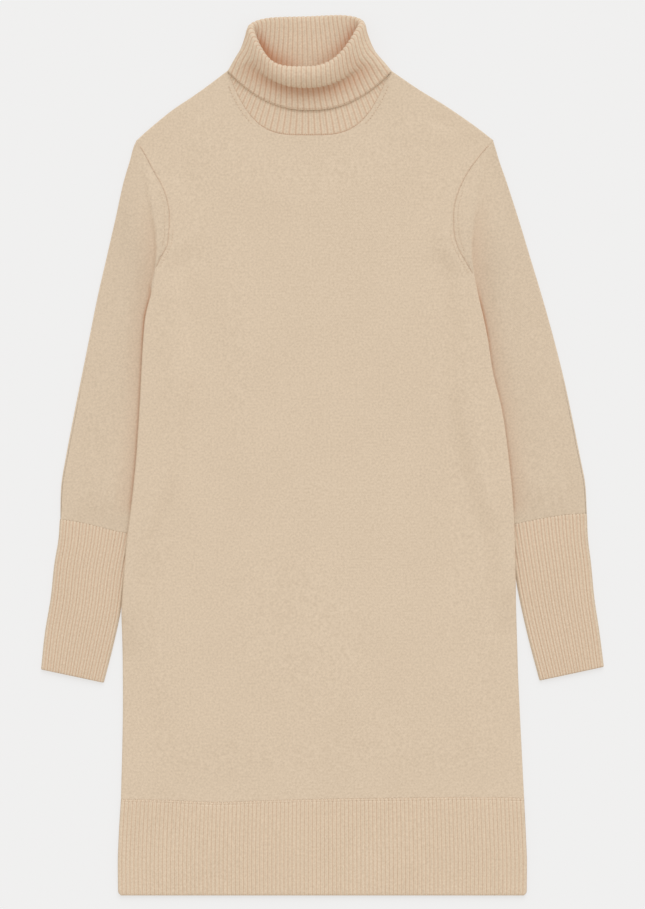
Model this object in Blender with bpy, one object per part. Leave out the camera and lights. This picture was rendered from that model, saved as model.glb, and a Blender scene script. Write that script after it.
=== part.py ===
"""A long-sleeved sweater dress with a turned-down roll collar, laid flat on its back.

X is the wearer's left to right as seen from above, Y runs up the dress and Z is up.
The origin is the middle of the outline, on the surface that the dress lies on.

Each piece that a knitter would cut or link on is one closed wall of cloth, and pieces
that a seam joins lie SEAM apart. Plain lengths are millimetres. A place in plan is
(x, h), with h measured up from the hem.
"""

import math
from typing import NamedTuple

import bmesh
import bpy
import numpy as np

MM = 0.001
LENGTH = 1014.0  # hem to the top of the collar

# Cloth
JERSEY = 2.0  # thickness of the plain knit
RIB_WALL = 1.8  # thickness of the rib knit in its troughs
RIB_HEIGHT = 0.8  # crest above trough
LAYER_GAP = 0.3  # between the two panels of the body where they are pressed together
SEAM = 0.7  # between pieces that a seam joins, in plan

# How the body lies over the inner edges of the sleeves
LIFT = 5.4  # underside of the body above the surface
UNDERARM_LIFT = 1.5
LIFT_MARGIN = 8.0  # flat on top, past the sleeve's hidden edge
LIFT_RAMP = 28.0  # then down to the surface
LIFT_START = 850.0  # height up the armhole where it begins
LIFT_FULL = 694.0
LIFT_FADE = 50.0  # below the height where the cuff comes clear

# Loft of the upper layers
BODY_PUFF = 2.6
BODY_PUFF_INSET = 0.16  # share of its width from a side to where it has its whole loft
BODY_PUFF_ENDS = 0.12, 0.14  # the same up from the hem line, and down from the top
SLEEVE_PUFF = 2.4
SLEEVE_PUFF_ENDS = 0.2, 0.1  # the same down from the armhole, and up from the cuff
PUFF_REACH = 25.0  # from the body's edge to where a sleeve has its whole loft

BODY_FADE = 5.0  # how quickly the shape of the body's sides is lost inwards

# Ribs
HEM_RIBS = 101  # across the front
CUFF_RIBS = 22  # across one face
COLLAR_FRONT_RIBS = 27
COLLAR_BACK_RIBS = 24

# Height of the underarm seam as a share of a panel's side, hem line to shoulder
UNDERARM = 0.8

# Outlines in plan (x, h), from the hem line up, for the left and the right side
SIDE_SEAM = {
    -1: [(-231.1, 109.1), (-229.7, 160), (-228.8, 210), (-228.9, 260), (-229.3, 295), (-230, 330),
         (-227.7, 365), (-223.9, 410), (-220, 440), (-213.6, 500), (-209.6, 560), (-207.5, 600),
         (-205.2, 640), (-202.5, 667), (-196.6, 690), (-193.6, 706), (-192.3, 718.8)],
    1: [(232.3, 110.4), (229.8, 160), (227.3, 210), (225.1, 260), (224.1, 295), (222.8, 330),
        (222.2, 365), (221.5, 410), (220.2, 440), (214.7, 500), (206.2, 560), (196.4, 600),
        (190.2, 640), (184.7, 667), (179.3, 690), (176.9, 702), (175.2, 711)],
}
ARMHOLE = {
    -1: [(-192.3, 718.8), (-183.8, 735.5), (-178.2, 746.5), (-176.1, 763), (-176.4, 790.5),
         (-181.9, 810.7), (-194.8, 834.6), (-203.5, 851), (-213.3, 867.1)],
    1: [(175.2, 711), (166.4, 726.3), (157.3, 742.8), (152.7, 757.5), (151.5, 772.2),
        (152.3, 792.3), (156.4, 807.1), (171.9, 837.3), (181.1, 849.2), (196.6, 867.7)],
}
SHOULDER = {
    -1: [(-213.3, 867.1), (-204.7, 875.1), (-188.6, 888.9), (-171.3, 902.7), (-150.6, 916.5),
         (-131.1, 930.3), (-121.9, 937.2), (-112, 943)],
    1: [(196.6, 867.7), (178.2, 882), (158.7, 895.8), (138, 909.6), (115, 923.4),
        (94.3, 937.2), (81, 943)],
}
HEM_LINE = [(-231.1, 109.1), (-179.4, 108.2), (-120.3, 105.7), (-69.7, 107.4), (7.8, 109.4),
            (98.9, 110.7), (188.4, 111.3), (232.3, 110.4)]
HEM_SIDE = {
    -1: [(-226, 0), (-233.6, 7), (-234.6, 40), (-233.7, 65), (-231.1, 109.1)],
    1: [(228, 0), (235.6, 7), (235.5, 40), (234.5, 65), (232.3, 110.4)],
}

# Sleeves: the outer fold from the shoulder down, and the inner fold from the underarm down,
# which goes under the body and comes out again beside the cuff
OUTER_FOLD = {
    -1: [(-213.3, 867.1), (-216.2, 861.3), (-220.8, 845.2), (-227.7, 822.2), (-238, 776),
         (-248.4, 730), (-258.8, 684), (-267.9, 638), (-277.1, 592), (-286.3, 546), (-295, 500),
         (-299, 477), (-301.3, 432)],
    1: [(196.6, 867.7), (200.1, 856.7), (203.5, 845.2), (211.6, 822.2), (226.5, 776),
        (240.3, 730), (254.1, 684), (266.8, 638), (278.3, 592), (288.1, 546), (297.3, 500),
        (301.9, 477), (304.5, 438.5)],
}
INNER_FOLD = {
    -1: [(-193.4, 720), (-195.6, 706), (-199.2, 690), (-194, 668), (-184, 645), (-178, 615),
         (-177.5, 580), (-181, 540), (-188, 500), (-198, 462), (-210, 432), (-217, 415)],
    1: [(176.6, 712), (178.9, 702), (182.2, 688), (181.5, 668), (174, 648), (169.5, 618),
        (171.5, 585), (178, 545), (187, 505), (197, 468), (207, 440), (213, 425)],
}
CUFF_LINE = {
    -1: [(-301.3, 432), (-280, 429), (-258, 424), (-239, 419), (-217, 415)],
    1: [(304.5, 438.5), (283.5, 437.6), (261, 434.5), (223, 427), (213, 425)],
}
CUFF_OUTER = {
    -1: [(-301.3, 432), (-303, 408), (-307, 385), (-312.2, 339), (-318, 305), (-323, 259.5)],
    1: [(304.5, 438.5), (305.9, 408), (308.8, 385), (313.4, 339), (318.5, 305), (324, 262.5)],
}
CUFF_INNER = {
    -1: [(-217, 415), (-226, 370), (-233, 322), (-241.5, 284), (-251.6, 244.5)],
    1: [(213, 425), (220, 385), (226, 350), (236.4, 302), (250.8, 247)],
}
CUFF_CLEAR = {-1: 325.0, 1: 352.0}  # height where the cuff's inner edge leaves the body

ARMHOLE_REACH = 0.18  # share of a sleeve's length that the curve of the armhole shapes
UNDERARM_FAN = 1.25  # how closely the sleeve's rows fan out from the underarm: 1 is evenly

# Where the grids of the panels have their columns and rows, as shares
EDGE_COLUMNS = (0, 0.028, 0.056, 0.084, 0.112, 0.14, 0.19, 0.254)
NECK_HALF = (0.12, 0.34, 0.52, 0.68, 0.8, 0.9, 0.97)  # of half the neckline's width
BODY_ROWS = (0, 0.12, 0.23, 0.275, 0.32, 0.4, 0.49, 0.58, 0.66, 0.72, 0.765, 0.785, 0.8, 0.82,
             0.85, 0.89, 0.93, 0.965, 1)
SLEEVE_ROWS = (0, 0.03, 0.06, 0.1, 0.15, 0.2, 0.26, 0.33, 0.4, 0.5, 0.6, 0.7, 0.8, 0.9, 1)
HEM_ROWS = (0, 0.03, 0.1, 0.985, 1)
HEM_COLUMNS = 13
CUFF_ROWS = (0, 0.02, 0.5, 0.98, 1)
CUFF_COLUMNS = 8



class Course(NamedTuple):
    """One course of the collar, at its place on the folded collar.

    centre: x of its middle. half: half its width. side, front and back: its h at the sides,
    at the front's middle and at the back's middle. z_front and z_back: height of the cloth
    there. z_top and z_low: above and below the side fold. left, right and rear: its shape
    in plan at the front's left and right and at the back, where 2 is a parabola and more is
    squarer. shoulder: how upright it leaves the side fold at the back, where 1 is not at all.
    """

    name: str
    centre: float
    half: float
    side: float
    front: float
    back: float
    z_front: float
    z_top: float
    z_low: float
    z_back: float
    left: float
    right: float
    rear: float
    shoulder: float


# Collar: one rib strip, knitted in the round, from the neckline up and folded down outwards
COLLAR = (
    Course("seam", -15.5, 93.2, 938.0, 873.4, 925.0, 3.4, 3.5, 1.0, 1.0, 3.0, 3.0, 3.0, 1.0),
    Course("band", -15.7, 84.5, 950.0, 892.0, 938.0, 4.2, 6.0, 3.4, 3.8, 2.8, 2.8, 2.7, 1.0),
    Course("stand", -16.3, 77.0, 961.0, 911.0, 960.0, 4.8, 7.6, 4.2, 4.0, 2.7, 2.5, 2.5, 1.0),
    Course("top", -17.1, 67.0, 976.0, 927.0, 988.0, 6.6, 11.5, 5.0, 4.4, 3.0, 2.3, 3.2, 0.7),
    Course("inside", -17.8, 61.0, 989.0, 940.5, 1005.5, 13.5, 17.5, 6.0, 5.0, 3.6, 2.2, 4.5, 0.6),
    Course("rim", -18.0, 62.0, 997.5, 947.8, 1010.0, 21.5, 22.5, 5.4, 3.1, 4.4, 2.4, 4.5, 0.5),
    Course("roll", -18.0, 66.0, 996.5, 946.0, 1007.0, 27.2, 25.0, 2.0, 0.95, 3.9, 2.4, 4.5, 0.5),
    Course("bulge", -18.1, 68.9, 986.0, 936.0, 998.0, 27.2, 23.8, 1.0, 0.9, 3.1, 2.3, 4.0, 0.6),
    Course("under", -17.6, 73.8, 974.0, 926.8, 982.0, 20.5, 19.5, 0.9, 0.9, 2.5, 2.3, 3.0, 0.8),
    Course("dip", -16.7, 80.0, 964.5, 928.0, 969.0, 12.0, 15.0, 0.9, 0.9, 2.4, 2.3, 2.4, 1.0),
    Course("skirt", -15.4, 86.8, 956.5, 915.0, 957.0, 8.6, 10.8, 0.9, 0.9, 2.3, 2.3, 2.3, 1.0),
    Course("edge", -14.1, 93.6, 949.0, 901.5, 945.0, 7.4, 8.0, 0.9, 0.9, 2.3, 2.3, 2.3, 1.0),
)
COLLAR_SEAM = COLLAR[0]
COLLAR_OVAL = 1.35  # how much wider than high its side folds are
COLLAR_TILT = 2.2  # how much higher the top of the rim's right side lies
COLLAR_SAG = 1.2  # how far the rim sinks between its sides
COLLAR_TILTED = 960.0, 990.0  # the tilt and the sag begin at the first height, whole at the last
COLLAR_ROWS = (0, 0.5, 1, 2, 3, 3.5, 4, 4.5, 5, 5.5, 6, 7, 8, 9, 10, 10.85, 11)
COLLAR_TURN = 5  # the row at the rim, past which the back of the collar lies on the surface
COLLAR_PLAIN = 16, 12  # columns of its hidden face at the front and at the back
FOLD_STEPS = 4

OATMEAL = (0.678, 0.552, 0.411, 1.0)
OATMEAL_RIB = (0.651, 0.515, 0.378, 1.0)
ROUGHNESS = 0.95


# ---- Curves and patches -----------------------------------------------------------------


def along(points, shares):
    """Places at the given shares of the length of a smooth line through the points."""
    points = np.asarray(points, float)
    steps = np.linalg.norm(np.diff(points, axis=0), axis=1)
    at = np.concatenate([[0.0], np.cumsum(steps)]) / steps.sum()
    return hermite(at, points, shares)


def hermite(at, values, where):
    """Values of the smooth curve through values[i] at at[i]."""
    where = np.atleast_1d(np.asarray(where, float))
    slopes = np.gradient(values, at, axis=0)
    low = np.clip(np.searchsorted(at, where, side="right") - 1, 0, len(at) - 2)
    span = (at[low + 1] - at[low])[:, None]
    t = (where - at[low])[:, None] / span
    return (
        (2 * t**3 - 3 * t**2 + 1) * values[low]
        + (t**3 - 2 * t**2 + t) * span * slopes[low]
        + (3 * t**2 - 2 * t**3) * values[low + 1]
        + (t**3 - t**2) * span * slopes[low + 1]
    )


def smooth_step(value):
    """0 below 0, 1 above 1, and a smooth rise between."""
    value = np.clip(value, 0.0, 1.0)
    return value * value * (3 - 2 * value)


def patch(first, last, left, right, across, up, fade=1.0):
    """A patch between four border lines, as rows of plan places.

    fade: how quickly the shape of a side border is lost inwards, where 1 is evenly.
    """
    u, v = np.asarray(across)[None, :, None], np.asarray(up)[:, None, None]
    ruled = (1 - v) * first[None] + v * last[None]
    from_left = left[:, None] - (1 - v) * first[0] - v * last[0]
    from_right = right[:, None] - (1 - v) * first[-1] - v * last[-1]
    return ruled + (1 - u) ** fade * from_left + u**fade * from_right


def between(line, at, where):
    """Places on the straight stretches between line[i] at at[i]."""
    return np.stack([np.interp(where, at, axis) for axis in np.asarray(line).T], axis=-1)


def ridges(places, count):
    """Height of a rib knit at the given shares of its width: crests are 1 and troughs 0."""
    return 0.5 - 0.5 * np.cos(2 * math.pi * count * np.asarray(places))


def between_ends(rows):
    """1 for each row of a grid but 0 for the first and the last, where ribs run out."""
    inside = np.ones((rows, 1))
    inside[[0, -1]] = 0
    return inside


# ---- Meshes -----------------------------------------------------------------------------


def zipped(first, second, first_at, second_at):
    """Triangles that join two rows of vertices, given each vertex's place along them."""
    faces, i, j = [], 0, 0
    while i < len(first) - 1 or j < len(second) - 1:
        if j == len(second) - 1 or (i < len(first) - 1 and first_at[i + 1] <= second_at[j + 1]):
            faces.append((first[i], first[i + 1], second[j]))
            i += 1
        else:
            faces.append((first[i], second[j + 1], second[j]))
            j += 1
    return faces


def grid_faces(index):
    """Triangles of a grid of vertices, with every diagonal the same way."""
    start, right, far, up = index[:-1, :-1], index[:-1, 1:], index[1:, 1:], index[1:, :-1]
    halves = np.stack([start, right, far], axis=-1), np.stack([start, far, up], axis=-1)
    return np.concatenate([half.reshape(-1, 3) for half in halves]).tolist()


def wall(name, outer, inner, outer_at, inner_at, material, around=0.0):
    """One closed wall of cloth between two grids of points (rows, columns, xyz).

    outer_at, inner_at: the place of each column across the wall, on one scale for both
    grids. around: where that scale closes, for a tube, which is joined at its ends only.
    """
    points = np.concatenate([outer.reshape(-1, 3), inner.reshape(-1, 3)])
    sides = []
    for grid, start in ((outer, 0), (inner, outer.shape[0] * outer.shape[1])):
        index = np.arange(grid.shape[0] * grid.shape[1]).reshape(grid.shape[:2]) + start
        sides.append(np.concatenate([index, index[:, :1]], axis=1) if around else index)
    if around:
        outer_at, inner_at = np.append(outer_at, around), np.append(inner_at, around)
    faces = grid_faces(sides[0]) + [face[::-1] for face in grid_faces(sides[1])]
    for row in (0, -1):
        faces += zipped(sides[0][row], sides[1][row], outer_at, inner_at)
    rows = np.arange(len(outer))
    for column in (0, -1) if not around else ():
        faces += zipped(sides[0][:, column], sides[1][:, column], rows, rows)

    points[:, 1] -= LENGTH / 2
    points[:, 2] = np.maximum(points[:, 2], 0.0)
    mesh = bpy.data.meshes.new(name)
    mesh.from_pydata((points * MM).tolist(), [], [[int(v) for v in face] for face in faces])
    made = bmesh.new()
    made.from_mesh(mesh)
    bmesh.ops.recalc_face_normals(made, faces=made.faces)
    made.to_mesh(mesh)
    made.free()
    mesh.shade_smooth()
    mesh.materials.append(material)
    piece = bpy.data.objects.new(name, mesh)
    bpy.context.scene.collection.objects.link(piece)
    return piece


def raised(plan, height):
    """A grid of plan places at the given heights, as points."""
    return np.concatenate([plan, np.broadcast_to(height, plan.shape[:2])[..., None]], axis=2)


def cloth(name, colour):
    material = bpy.data.materials.new(name)
    material.use_nodes = True
    shader = material.node_tree.nodes["Principled BSDF"]
    shader.inputs["Base Color"].default_value = colour
    shader.inputs["Roughness"].default_value = ROUGHNESS
    return material


# ---- Body and hem -----------------------------------------------------------------------


def x_at(line, heights):
    """x where a line that goes steadily up or down passes the given heights."""
    line = np.asarray(sorted(line, key=lambda place: place[1]))
    return np.interp(heights, line[:, 1], line[:, 0])


def lift(plan):
    """How high the body lies above the surface: over the sleeves' hidden edges and no more."""
    x, h = plan[..., 0], plan[..., 1]
    total = np.zeros(x.shape)
    for side in (-1, 1):
        edge = x_at(SIDE_SEAM[side] + ARMHOLE[side][1:], h)
        hidden = np.maximum(0.0, side * (edge - x_at(INNER_FOLD[side] + CUFF_INNER[side][1:], h)))
        clear = CUFF_CLEAR[side]
        most = np.interp(
            h,
            [clear - LIFT_FADE, clear, LIFT_FULL, SIDE_SEAM[side][-1][1], LIFT_START],
            [0.0, LIFT, LIFT, UNDERARM_LIFT, 0.0],
        )
        inside = side * (edge - x) - hidden - LIFT_MARGIN
        total += most * (1 - smooth_step(inside / LIFT_RAMP))
    return total


def neck_places():
    return np.array([-place for place in NECK_HALF[::-1]] + list(NECK_HALF))


def body_columns():
    edge = np.array(EDGE_COLUMNS)
    neck = 0.5 + (0.5 - edge[-1]) * neck_places()
    return np.concatenate([edge, neck, 1 - edge[::-1]])


def neckline(depth):
    """The neckline of a panel between its corners: the collar's seam line, SEAM outside it."""
    places = neck_places()
    side = COLLAR_SEAM.side
    half = abs(SHOULDER[-1][-1][0] - COLLAR_SEAM.centre)
    h = side - (side - depth) * (1 - np.abs(places) ** COLLAR_SEAM.left) - SEAM
    return np.stack([COLLAR_SEAM.centre + half * places, h], axis=1)


def body_plan(neck_depth):
    """Plan places of a body panel's grid, rows from the hem line up."""
    across = body_columns()
    up = np.array(BODY_ROWS)
    on_shoulder = len(EDGE_COLUMNS)
    share = across[:on_shoulder] / across[on_shoulder - 1]
    left, right = along(SHOULDER[-1], share), along(SHOULDER[1], share)[::-1]
    top = np.concatenate([left, neckline(neck_depth), right])
    sides = []
    for side in (-1, 1):
        seam = along(SIDE_SEAM[side], up[up < UNDERARM] / UNDERARM)
        sides.append(np.concatenate([seam, armhole_line(side, -SEAM / 2)[0]]))
    top[0], top[-1] = sides[0][-1], sides[1][-1]
    bottom = along(HEM_LINE, across) + (0, SEAM / 2)
    sides[0][0], sides[1][0] = bottom[0], bottom[-1]
    return patch(bottom, top, sides[0], sides[1], across, up, BODY_FADE)


def body_puff():
    across, up = body_columns()[None, :], np.array(BODY_ROWS)[:, None]
    inwards = smooth_step(np.minimum(across, 1 - across) / BODY_PUFF_INSET)
    low, top = BODY_PUFF_ENDS
    return BODY_PUFF * inwards * smooth_step(up / low) * smooth_step((1 - up) / top)


def make_body(material):
    at = body_columns()
    front = body_plan(COLLAR_SEAM.front)
    low = lift(front) + JERSEY + LAYER_GAP + body_puff()
    wall("body_front", raised(front, low + JERSEY), raised(front, low), at, at, material)
    back = body_plan(COLLAR_SEAM.back)
    low = lift(back)
    wall("body_back", raised(back, low + JERSEY), raised(back, low), at, at, material)


def hem_plan(across, up):
    bottom_left, bottom_right = HEM_SIDE[-1][0], HEM_SIDE[1][0]
    bottom = along([bottom_left, (0, 0), bottom_right], across)
    top = along(HEM_LINE, across) - (0, SEAM / 2)
    left, right = along(HEM_SIDE[-1], up), along(HEM_SIDE[1], up)
    left[-1], right[-1] = top[0], top[-1]
    return patch(bottom, top, left, right, across, up)


def make_hem(material):
    up = np.array(HEM_ROWS)
    plain = np.linspace(0, 1, HEM_COLUMNS)
    ribbed = np.linspace(0, 1, 2 * HEM_RIBS + 1)
    plan = hem_plan(plain, up)
    shown = np.array([between(row, plain, ribbed) for row in plan])
    low = JERSEY + LAYER_GAP
    top = low + RIB_WALL + RIB_HEIGHT * between_ends(len(up)) * ridges(ribbed, HEM_RIBS)
    wall("hem_rib_front", raised(shown, top), raised(plan, low), ribbed, plain, material)
    wall("hem_rib_back", raised(plan, RIB_WALL), raised(plan, 0.0), plain, plain, material)


# ---- Sleeves and cuffs ------------------------------------------------------------------


def tube_ring(row, across, columns, thickness, offset, rise):
    """One ring round a flat tube: above from the outer to the inner fold, then back below.

    row: plan places at the shares `across`. columns: shares of the ring's points above.
    offset: from the middle of the wall to this surface. rise: height added at each column.
    """
    radius = (thickness + LAYER_GAP) / 2
    middle = thickness / 2 + radius
    inwards = row[1] - row[0], row[-2] - row[-1]
    inwards = [direction / np.linalg.norm(direction) for direction in inwards]

    def flat(places, height):
        """The stretch above or below, which ends where the folds begin."""
        plan = between(row, across, places)
        plan[places == 0] = row[0] + radius * inwards[0]
        plan[places == 1] = row[-1] + radius * inwards[1]
        return np.column_stack([plan, np.broadcast_to(height, places.shape)])

    def fold(edge, direction, angles):
        reach = radius - (radius + offset) * np.cos(angles)
        height = middle + (radius + offset) * np.sin(angles)
        return np.column_stack([edge + reach[:, None] * direction, height])

    angles = np.linspace(math.pi / 2, -math.pi / 2, FOLD_STEPS + 1)[1:-1]
    return np.concatenate([
        flat(columns, middle + radius + offset + rise),
        fold(row[-1], inwards[1], angles),
        flat(across[::-1], middle - radius - offset),
        fold(row[0], inwards[0], angles[::-1]),
    ])


def tube_places(columns, across):
    """Places of a ring's points: 0 to 1 above, 1 to 2 the fold, 2 to 3 below, 3 to 4 the fold."""
    fold = np.linspace(0, 1, FOLD_STEPS + 1)[1:-1]
    return np.concatenate([columns, 1 + fold, 3 - across[::-1], 3 + fold])


def make_tube(name, plan, across, thickness, loft, material, ribs=0):
    """A sleeve or a cuff, with its loft above at each place of the plan."""
    shown = np.linspace(0, 1, 2 * ribs + 1) if ribs else across
    grids = []
    for columns, offset in ((shown, thickness / 2), (across, -thickness / 2)):
        ridge = RIB_HEIGHT * ridges(columns, ribs) * between_ends(len(plan)) * (offset > 0)
        rise = [np.interp(columns, across, high) for high in loft] + ridge
        rings = [
            tube_ring(row, across, columns, thickness, offset, high)
            for row, high in zip(plan, rise)
        ]
        grids.append(np.array(rings))
    shown_at, across_at = tube_places(shown, across), tube_places(across, across)
    return wall(name, *grids, shown_at, across_at, material, around=4.0)


def armhole_line(side, outwards):
    """An armhole's seam from underarm to shoulder, moved away from the body, and its shares."""
    rows = np.array(BODY_ROWS)
    at = (rows[rows >= UNDERARM] - UNDERARM) / (1 - UNDERARM)
    return along(ARMHOLE[side], at) + (side * outwards, 0), at


def make_sleeve(name, side, material):
    up = np.array(SLEEVE_ROWS)
    seam, at = armhole_line(side, SEAM / 2)
    seam, at = seam[::-1], 1 - at[::-1]
    across = np.sort(np.concatenate([at, (at[1:] + at[:-1]) / 2]))
    armhole = between(seam, at, across)
    cuff = along(CUFF_LINE[side], across) + (0, SEAM / 2)
    outer, inner = along(OUTER_FOLD[side], up), along(INNER_FOLD[side], up**UNDERARM_FAN)
    outer[1:, 0] -= side * JERSEY / 2
    cuff[0, 0] = outer[-1, 0]
    armhole[-1] = inner[0]
    outer[0], outer[-1], inner[-1] = armhole[0], cuff[0], cuff[-1]
    u, v = across[None, :, None], up[:, None, None]
    straight = (1 - u) * outer[:, None] + u * inner[:, None]
    at_seam = np.clip(1 - v / ARMHOLE_REACH, 0, 1) ** 2
    plan = straight + at_seam * (armhole - straight[0]) + v**4 * (cuff - straight[-1])

    outside = side * (plan[..., 0] - x_at(SIDE_SEAM[side] + ARMHOLE[side][1:], plan[..., 1]))
    top, low = SLEEVE_PUFF_ENDS
    ends = smooth_step(up / top) * smooth_step((1 - up) / low)
    free = smooth_step(outside / PUFF_REACH)
    loft = SLEEVE_PUFF * ends[:, None] * np.sin(math.pi * across) * free
    make_tube(name, plan, across, JERSEY, loft, material)


def make_cuff(name, side, material):
    up = np.array(CUFF_ROWS)
    across = np.linspace(0, 1, CUFF_COLUMNS)
    line = along(CUFF_LINE[side], across) - (0, SEAM / 2)
    outer, inner = along(CUFF_OUTER[side], up), along(CUFF_INNER[side], up)
    outer[:, 0] -= side * RIB_WALL / 2
    line[0, 0] = outer[0, 0]
    outer[0], inner[0] = line[0], line[-1]
    end = outer[-1] + across[:, None] * (inner[-1] - outer[-1])
    plan = patch(line, end, outer, inner, across, up)
    make_tube(name, plan, across, RIB_WALL, np.zeros(plan.shape[:2]), material, CUFF_RIBS)


# ---- Collar -----------------------------------------------------------------------------


def collar_places(front, back):
    """Columns round the collar: 0 to 1 the front, 1 to 2 the right fold, then back and left."""
    fold = np.linspace(0, 1, FOLD_STEPS + 1)[:-1]
    return np.concatenate([
        np.linspace(0, 1, front + 1)[:-1], 1 + fold, 2 + np.linspace(0, 1, back + 1)[:-1], 3 + fold,
    ])


def collar_middle(rows, columns):
    """The middle of the collar's wall at the given rows and columns."""
    table = np.array([course[1:] for course in COLLAR])
    at = np.arange(len(COLLAR), dtype=float)
    (
        centre, half, side, front, back, z_front, z_top, z_low, z_back, left, right, rear,
        shoulder,
    ) = hermite(at, table, rows).T[:, :, None]
    part = np.floor(columns).astype(int) % 4
    share = columns - np.floor(columns)
    reach = (z_top - z_low) / 2 * COLLAR_OVAL
    flat = half - reach
    turn = math.pi * share
    x = np.select(
        [part == 0, part == 1, part == 2],
        [flat * (2 * share - 1), flat + reach * np.sin(turn), flat * (1 - 2 * share)],
        -flat - reach * np.sin(turn),
    )
    on_front = (part == 0) | ((part == 1) & (share < 0.5)) | ((part == 3) & (share >= 0.5))
    place = np.clip(np.abs(x) / half, 0.0, 1.0)
    bowl = (front - side) * (1 - place ** np.where(x < 0, left, right))
    h = side + np.where(on_front, bowl, (back - side) * (1 - place**rear) ** shoulder)
    start, whole = COLLAR_TILTED
    high = smooth_step((h - start) / (whole - start))
    h = h + (COLLAR_TILT * x / half + COLLAR_SAG * (place**2 - 1)) * high
    inwards = (1 - np.clip(np.abs(x) / flat, 0, 1) ** 2) ** 2
    bend = (z_top - z_low) / 2 * np.cos(turn)
    z = np.select(
        [part == 0, part == 1, part == 2],
        [z_top + (z_front - z_top) * inwards, (z_top + z_low) / 2 + bend,
         z_low + (z_back - z_low) * inwards],
        (z_top + z_low) / 2 - bend,
    )
    return np.stack([centre + x, h, z], axis=-1)


def collar_surface(columns, offset):
    """The collar's surface at a distance from the middle of its wall, and its rows."""
    rows = np.array(COLLAR_ROWS, float)
    step = 0.02
    last = rows[-1]
    ahead = collar_middle(np.minimum(rows + step, last), columns)
    behind = collar_middle(np.maximum(rows - step, 0), columns)
    after = collar_middle(rows, (columns + step) % 4)
    before = collar_middle(rows, (columns - step) % 4)
    normal = np.cross(after - before, ahead - behind)
    normal /= np.linalg.norm(normal, axis=-1)[..., None]
    return collar_middle(rows, columns) + offset[..., None] * normal


def collar_ridges(columns):
    """Rib relief where it faces up: inside the back of the stand and on the front's turn."""
    part = np.floor(columns).astype(int) % 4
    share = columns - np.floor(columns)
    front = np.where(part == 0, ridges(share, COLLAR_FRONT_RIBS), 0.0)
    back = np.where(part == 2, ridges(share, COLLAR_BACK_RIBS), 0.0)
    turned = np.array(COLLAR_ROWS)[:, None] >= COLLAR_TURN - 0.5
    return RIB_HEIGHT * np.where(turned, front, back) * between_ends(len(COLLAR_ROWS))


def make_collar(material):
    ribbed = collar_places(2 * COLLAR_FRONT_RIBS, 2 * COLLAR_BACK_RIBS)
    plain = collar_places(*COLLAR_PLAIN)
    rows = len(COLLAR_ROWS)
    shown = collar_surface(ribbed, -RIB_WALL / 2 - collar_ridges(ribbed))
    hidden = collar_surface(plain, np.full((rows, len(plain)), RIB_WALL / 2))
    wall("collar", shown, hidden, ribbed, plain, material, around=4.0)


# ---- The dress --------------------------------------------------------------------------


def main():
    for thing in list(bpy.data.objects):
        bpy.data.objects.remove(thing, do_unlink=True)
    jersey = cloth("oatmeal_jersey", OATMEAL)
    rib = cloth("oatmeal_rib", OATMEAL_RIB)
    make_body(jersey)
    make_hem(rib)
    for name, side in (("left", -1), ("right", 1)):
        make_sleeve(f"sleeve_{name}", side, jersey)
        make_cuff(f"cuff_{name}", side, rib)
    make_collar(rib)


main()
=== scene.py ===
"""A long-sleeved sweater dress in oatmeal knit with a turned-down roll collar.

It lies flat on its back on a plain pale surface. X runs across the dress, Y up it and
Z is up. Plain lengths are millimetres, and a place in plan is (x, h), with h measured
up from the hem. Each piece that a knitter would cut or link on is one closed wall of
cloth, with its ribs, its edges and its main creases in the mesh.
"""

import logging
import math
from collections.abc import Sequence
from dataclasses import dataclass
from enum import Enum

import bpy
import numpy as np
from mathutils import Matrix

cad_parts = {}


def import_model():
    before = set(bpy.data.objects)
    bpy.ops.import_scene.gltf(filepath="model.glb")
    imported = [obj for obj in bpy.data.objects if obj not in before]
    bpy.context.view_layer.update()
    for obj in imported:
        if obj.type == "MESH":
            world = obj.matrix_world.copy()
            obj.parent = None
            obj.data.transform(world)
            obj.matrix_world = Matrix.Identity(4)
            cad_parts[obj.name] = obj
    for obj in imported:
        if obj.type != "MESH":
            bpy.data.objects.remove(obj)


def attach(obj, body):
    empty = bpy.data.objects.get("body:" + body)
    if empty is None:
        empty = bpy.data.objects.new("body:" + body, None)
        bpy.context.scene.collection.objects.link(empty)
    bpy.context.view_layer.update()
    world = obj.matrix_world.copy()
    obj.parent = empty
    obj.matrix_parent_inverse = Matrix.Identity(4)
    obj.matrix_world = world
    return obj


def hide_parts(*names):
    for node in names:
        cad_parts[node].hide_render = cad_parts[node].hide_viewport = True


Array = np.ndarray
Line = Sequence[tuple[float, float]]

LOG = logging.getLogger("sweater_dress")

MM = 0.001
LENGTH = 1014.0  # hem to the top of the collar

# Cloth
JERSEY = 2.0  # thickness of the plain knit
RIB_WALL = 1.8  # thickness of the rib knit in its troughs
RIB_HEIGHT = 0.8  # crest above trough
LAYER_GAP = 0.3  # between the two panels of the body where they are pressed together
SEAM = -0.5  # between pieces that a seam joins, in plan: they lap
WALE = 2.3  # width of one column of stitches in the plain knit
COURSE = 1.75  # height of one row of stitches
RIB_WIDTH = 4.6  # width of one rib
HEM_HEIGHT = 109.0
CREASE_SCALE = 1.3  # height of a crease over the rise in its table

# Height of the underarm seam as a share of a panel's side, hem line to shoulder
UNDERARM = 0.8


class Side(Enum):
    """The wearer's sides as they lie: left and right of the middle."""

    LEFT = -1
    RIGHT = 1


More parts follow.
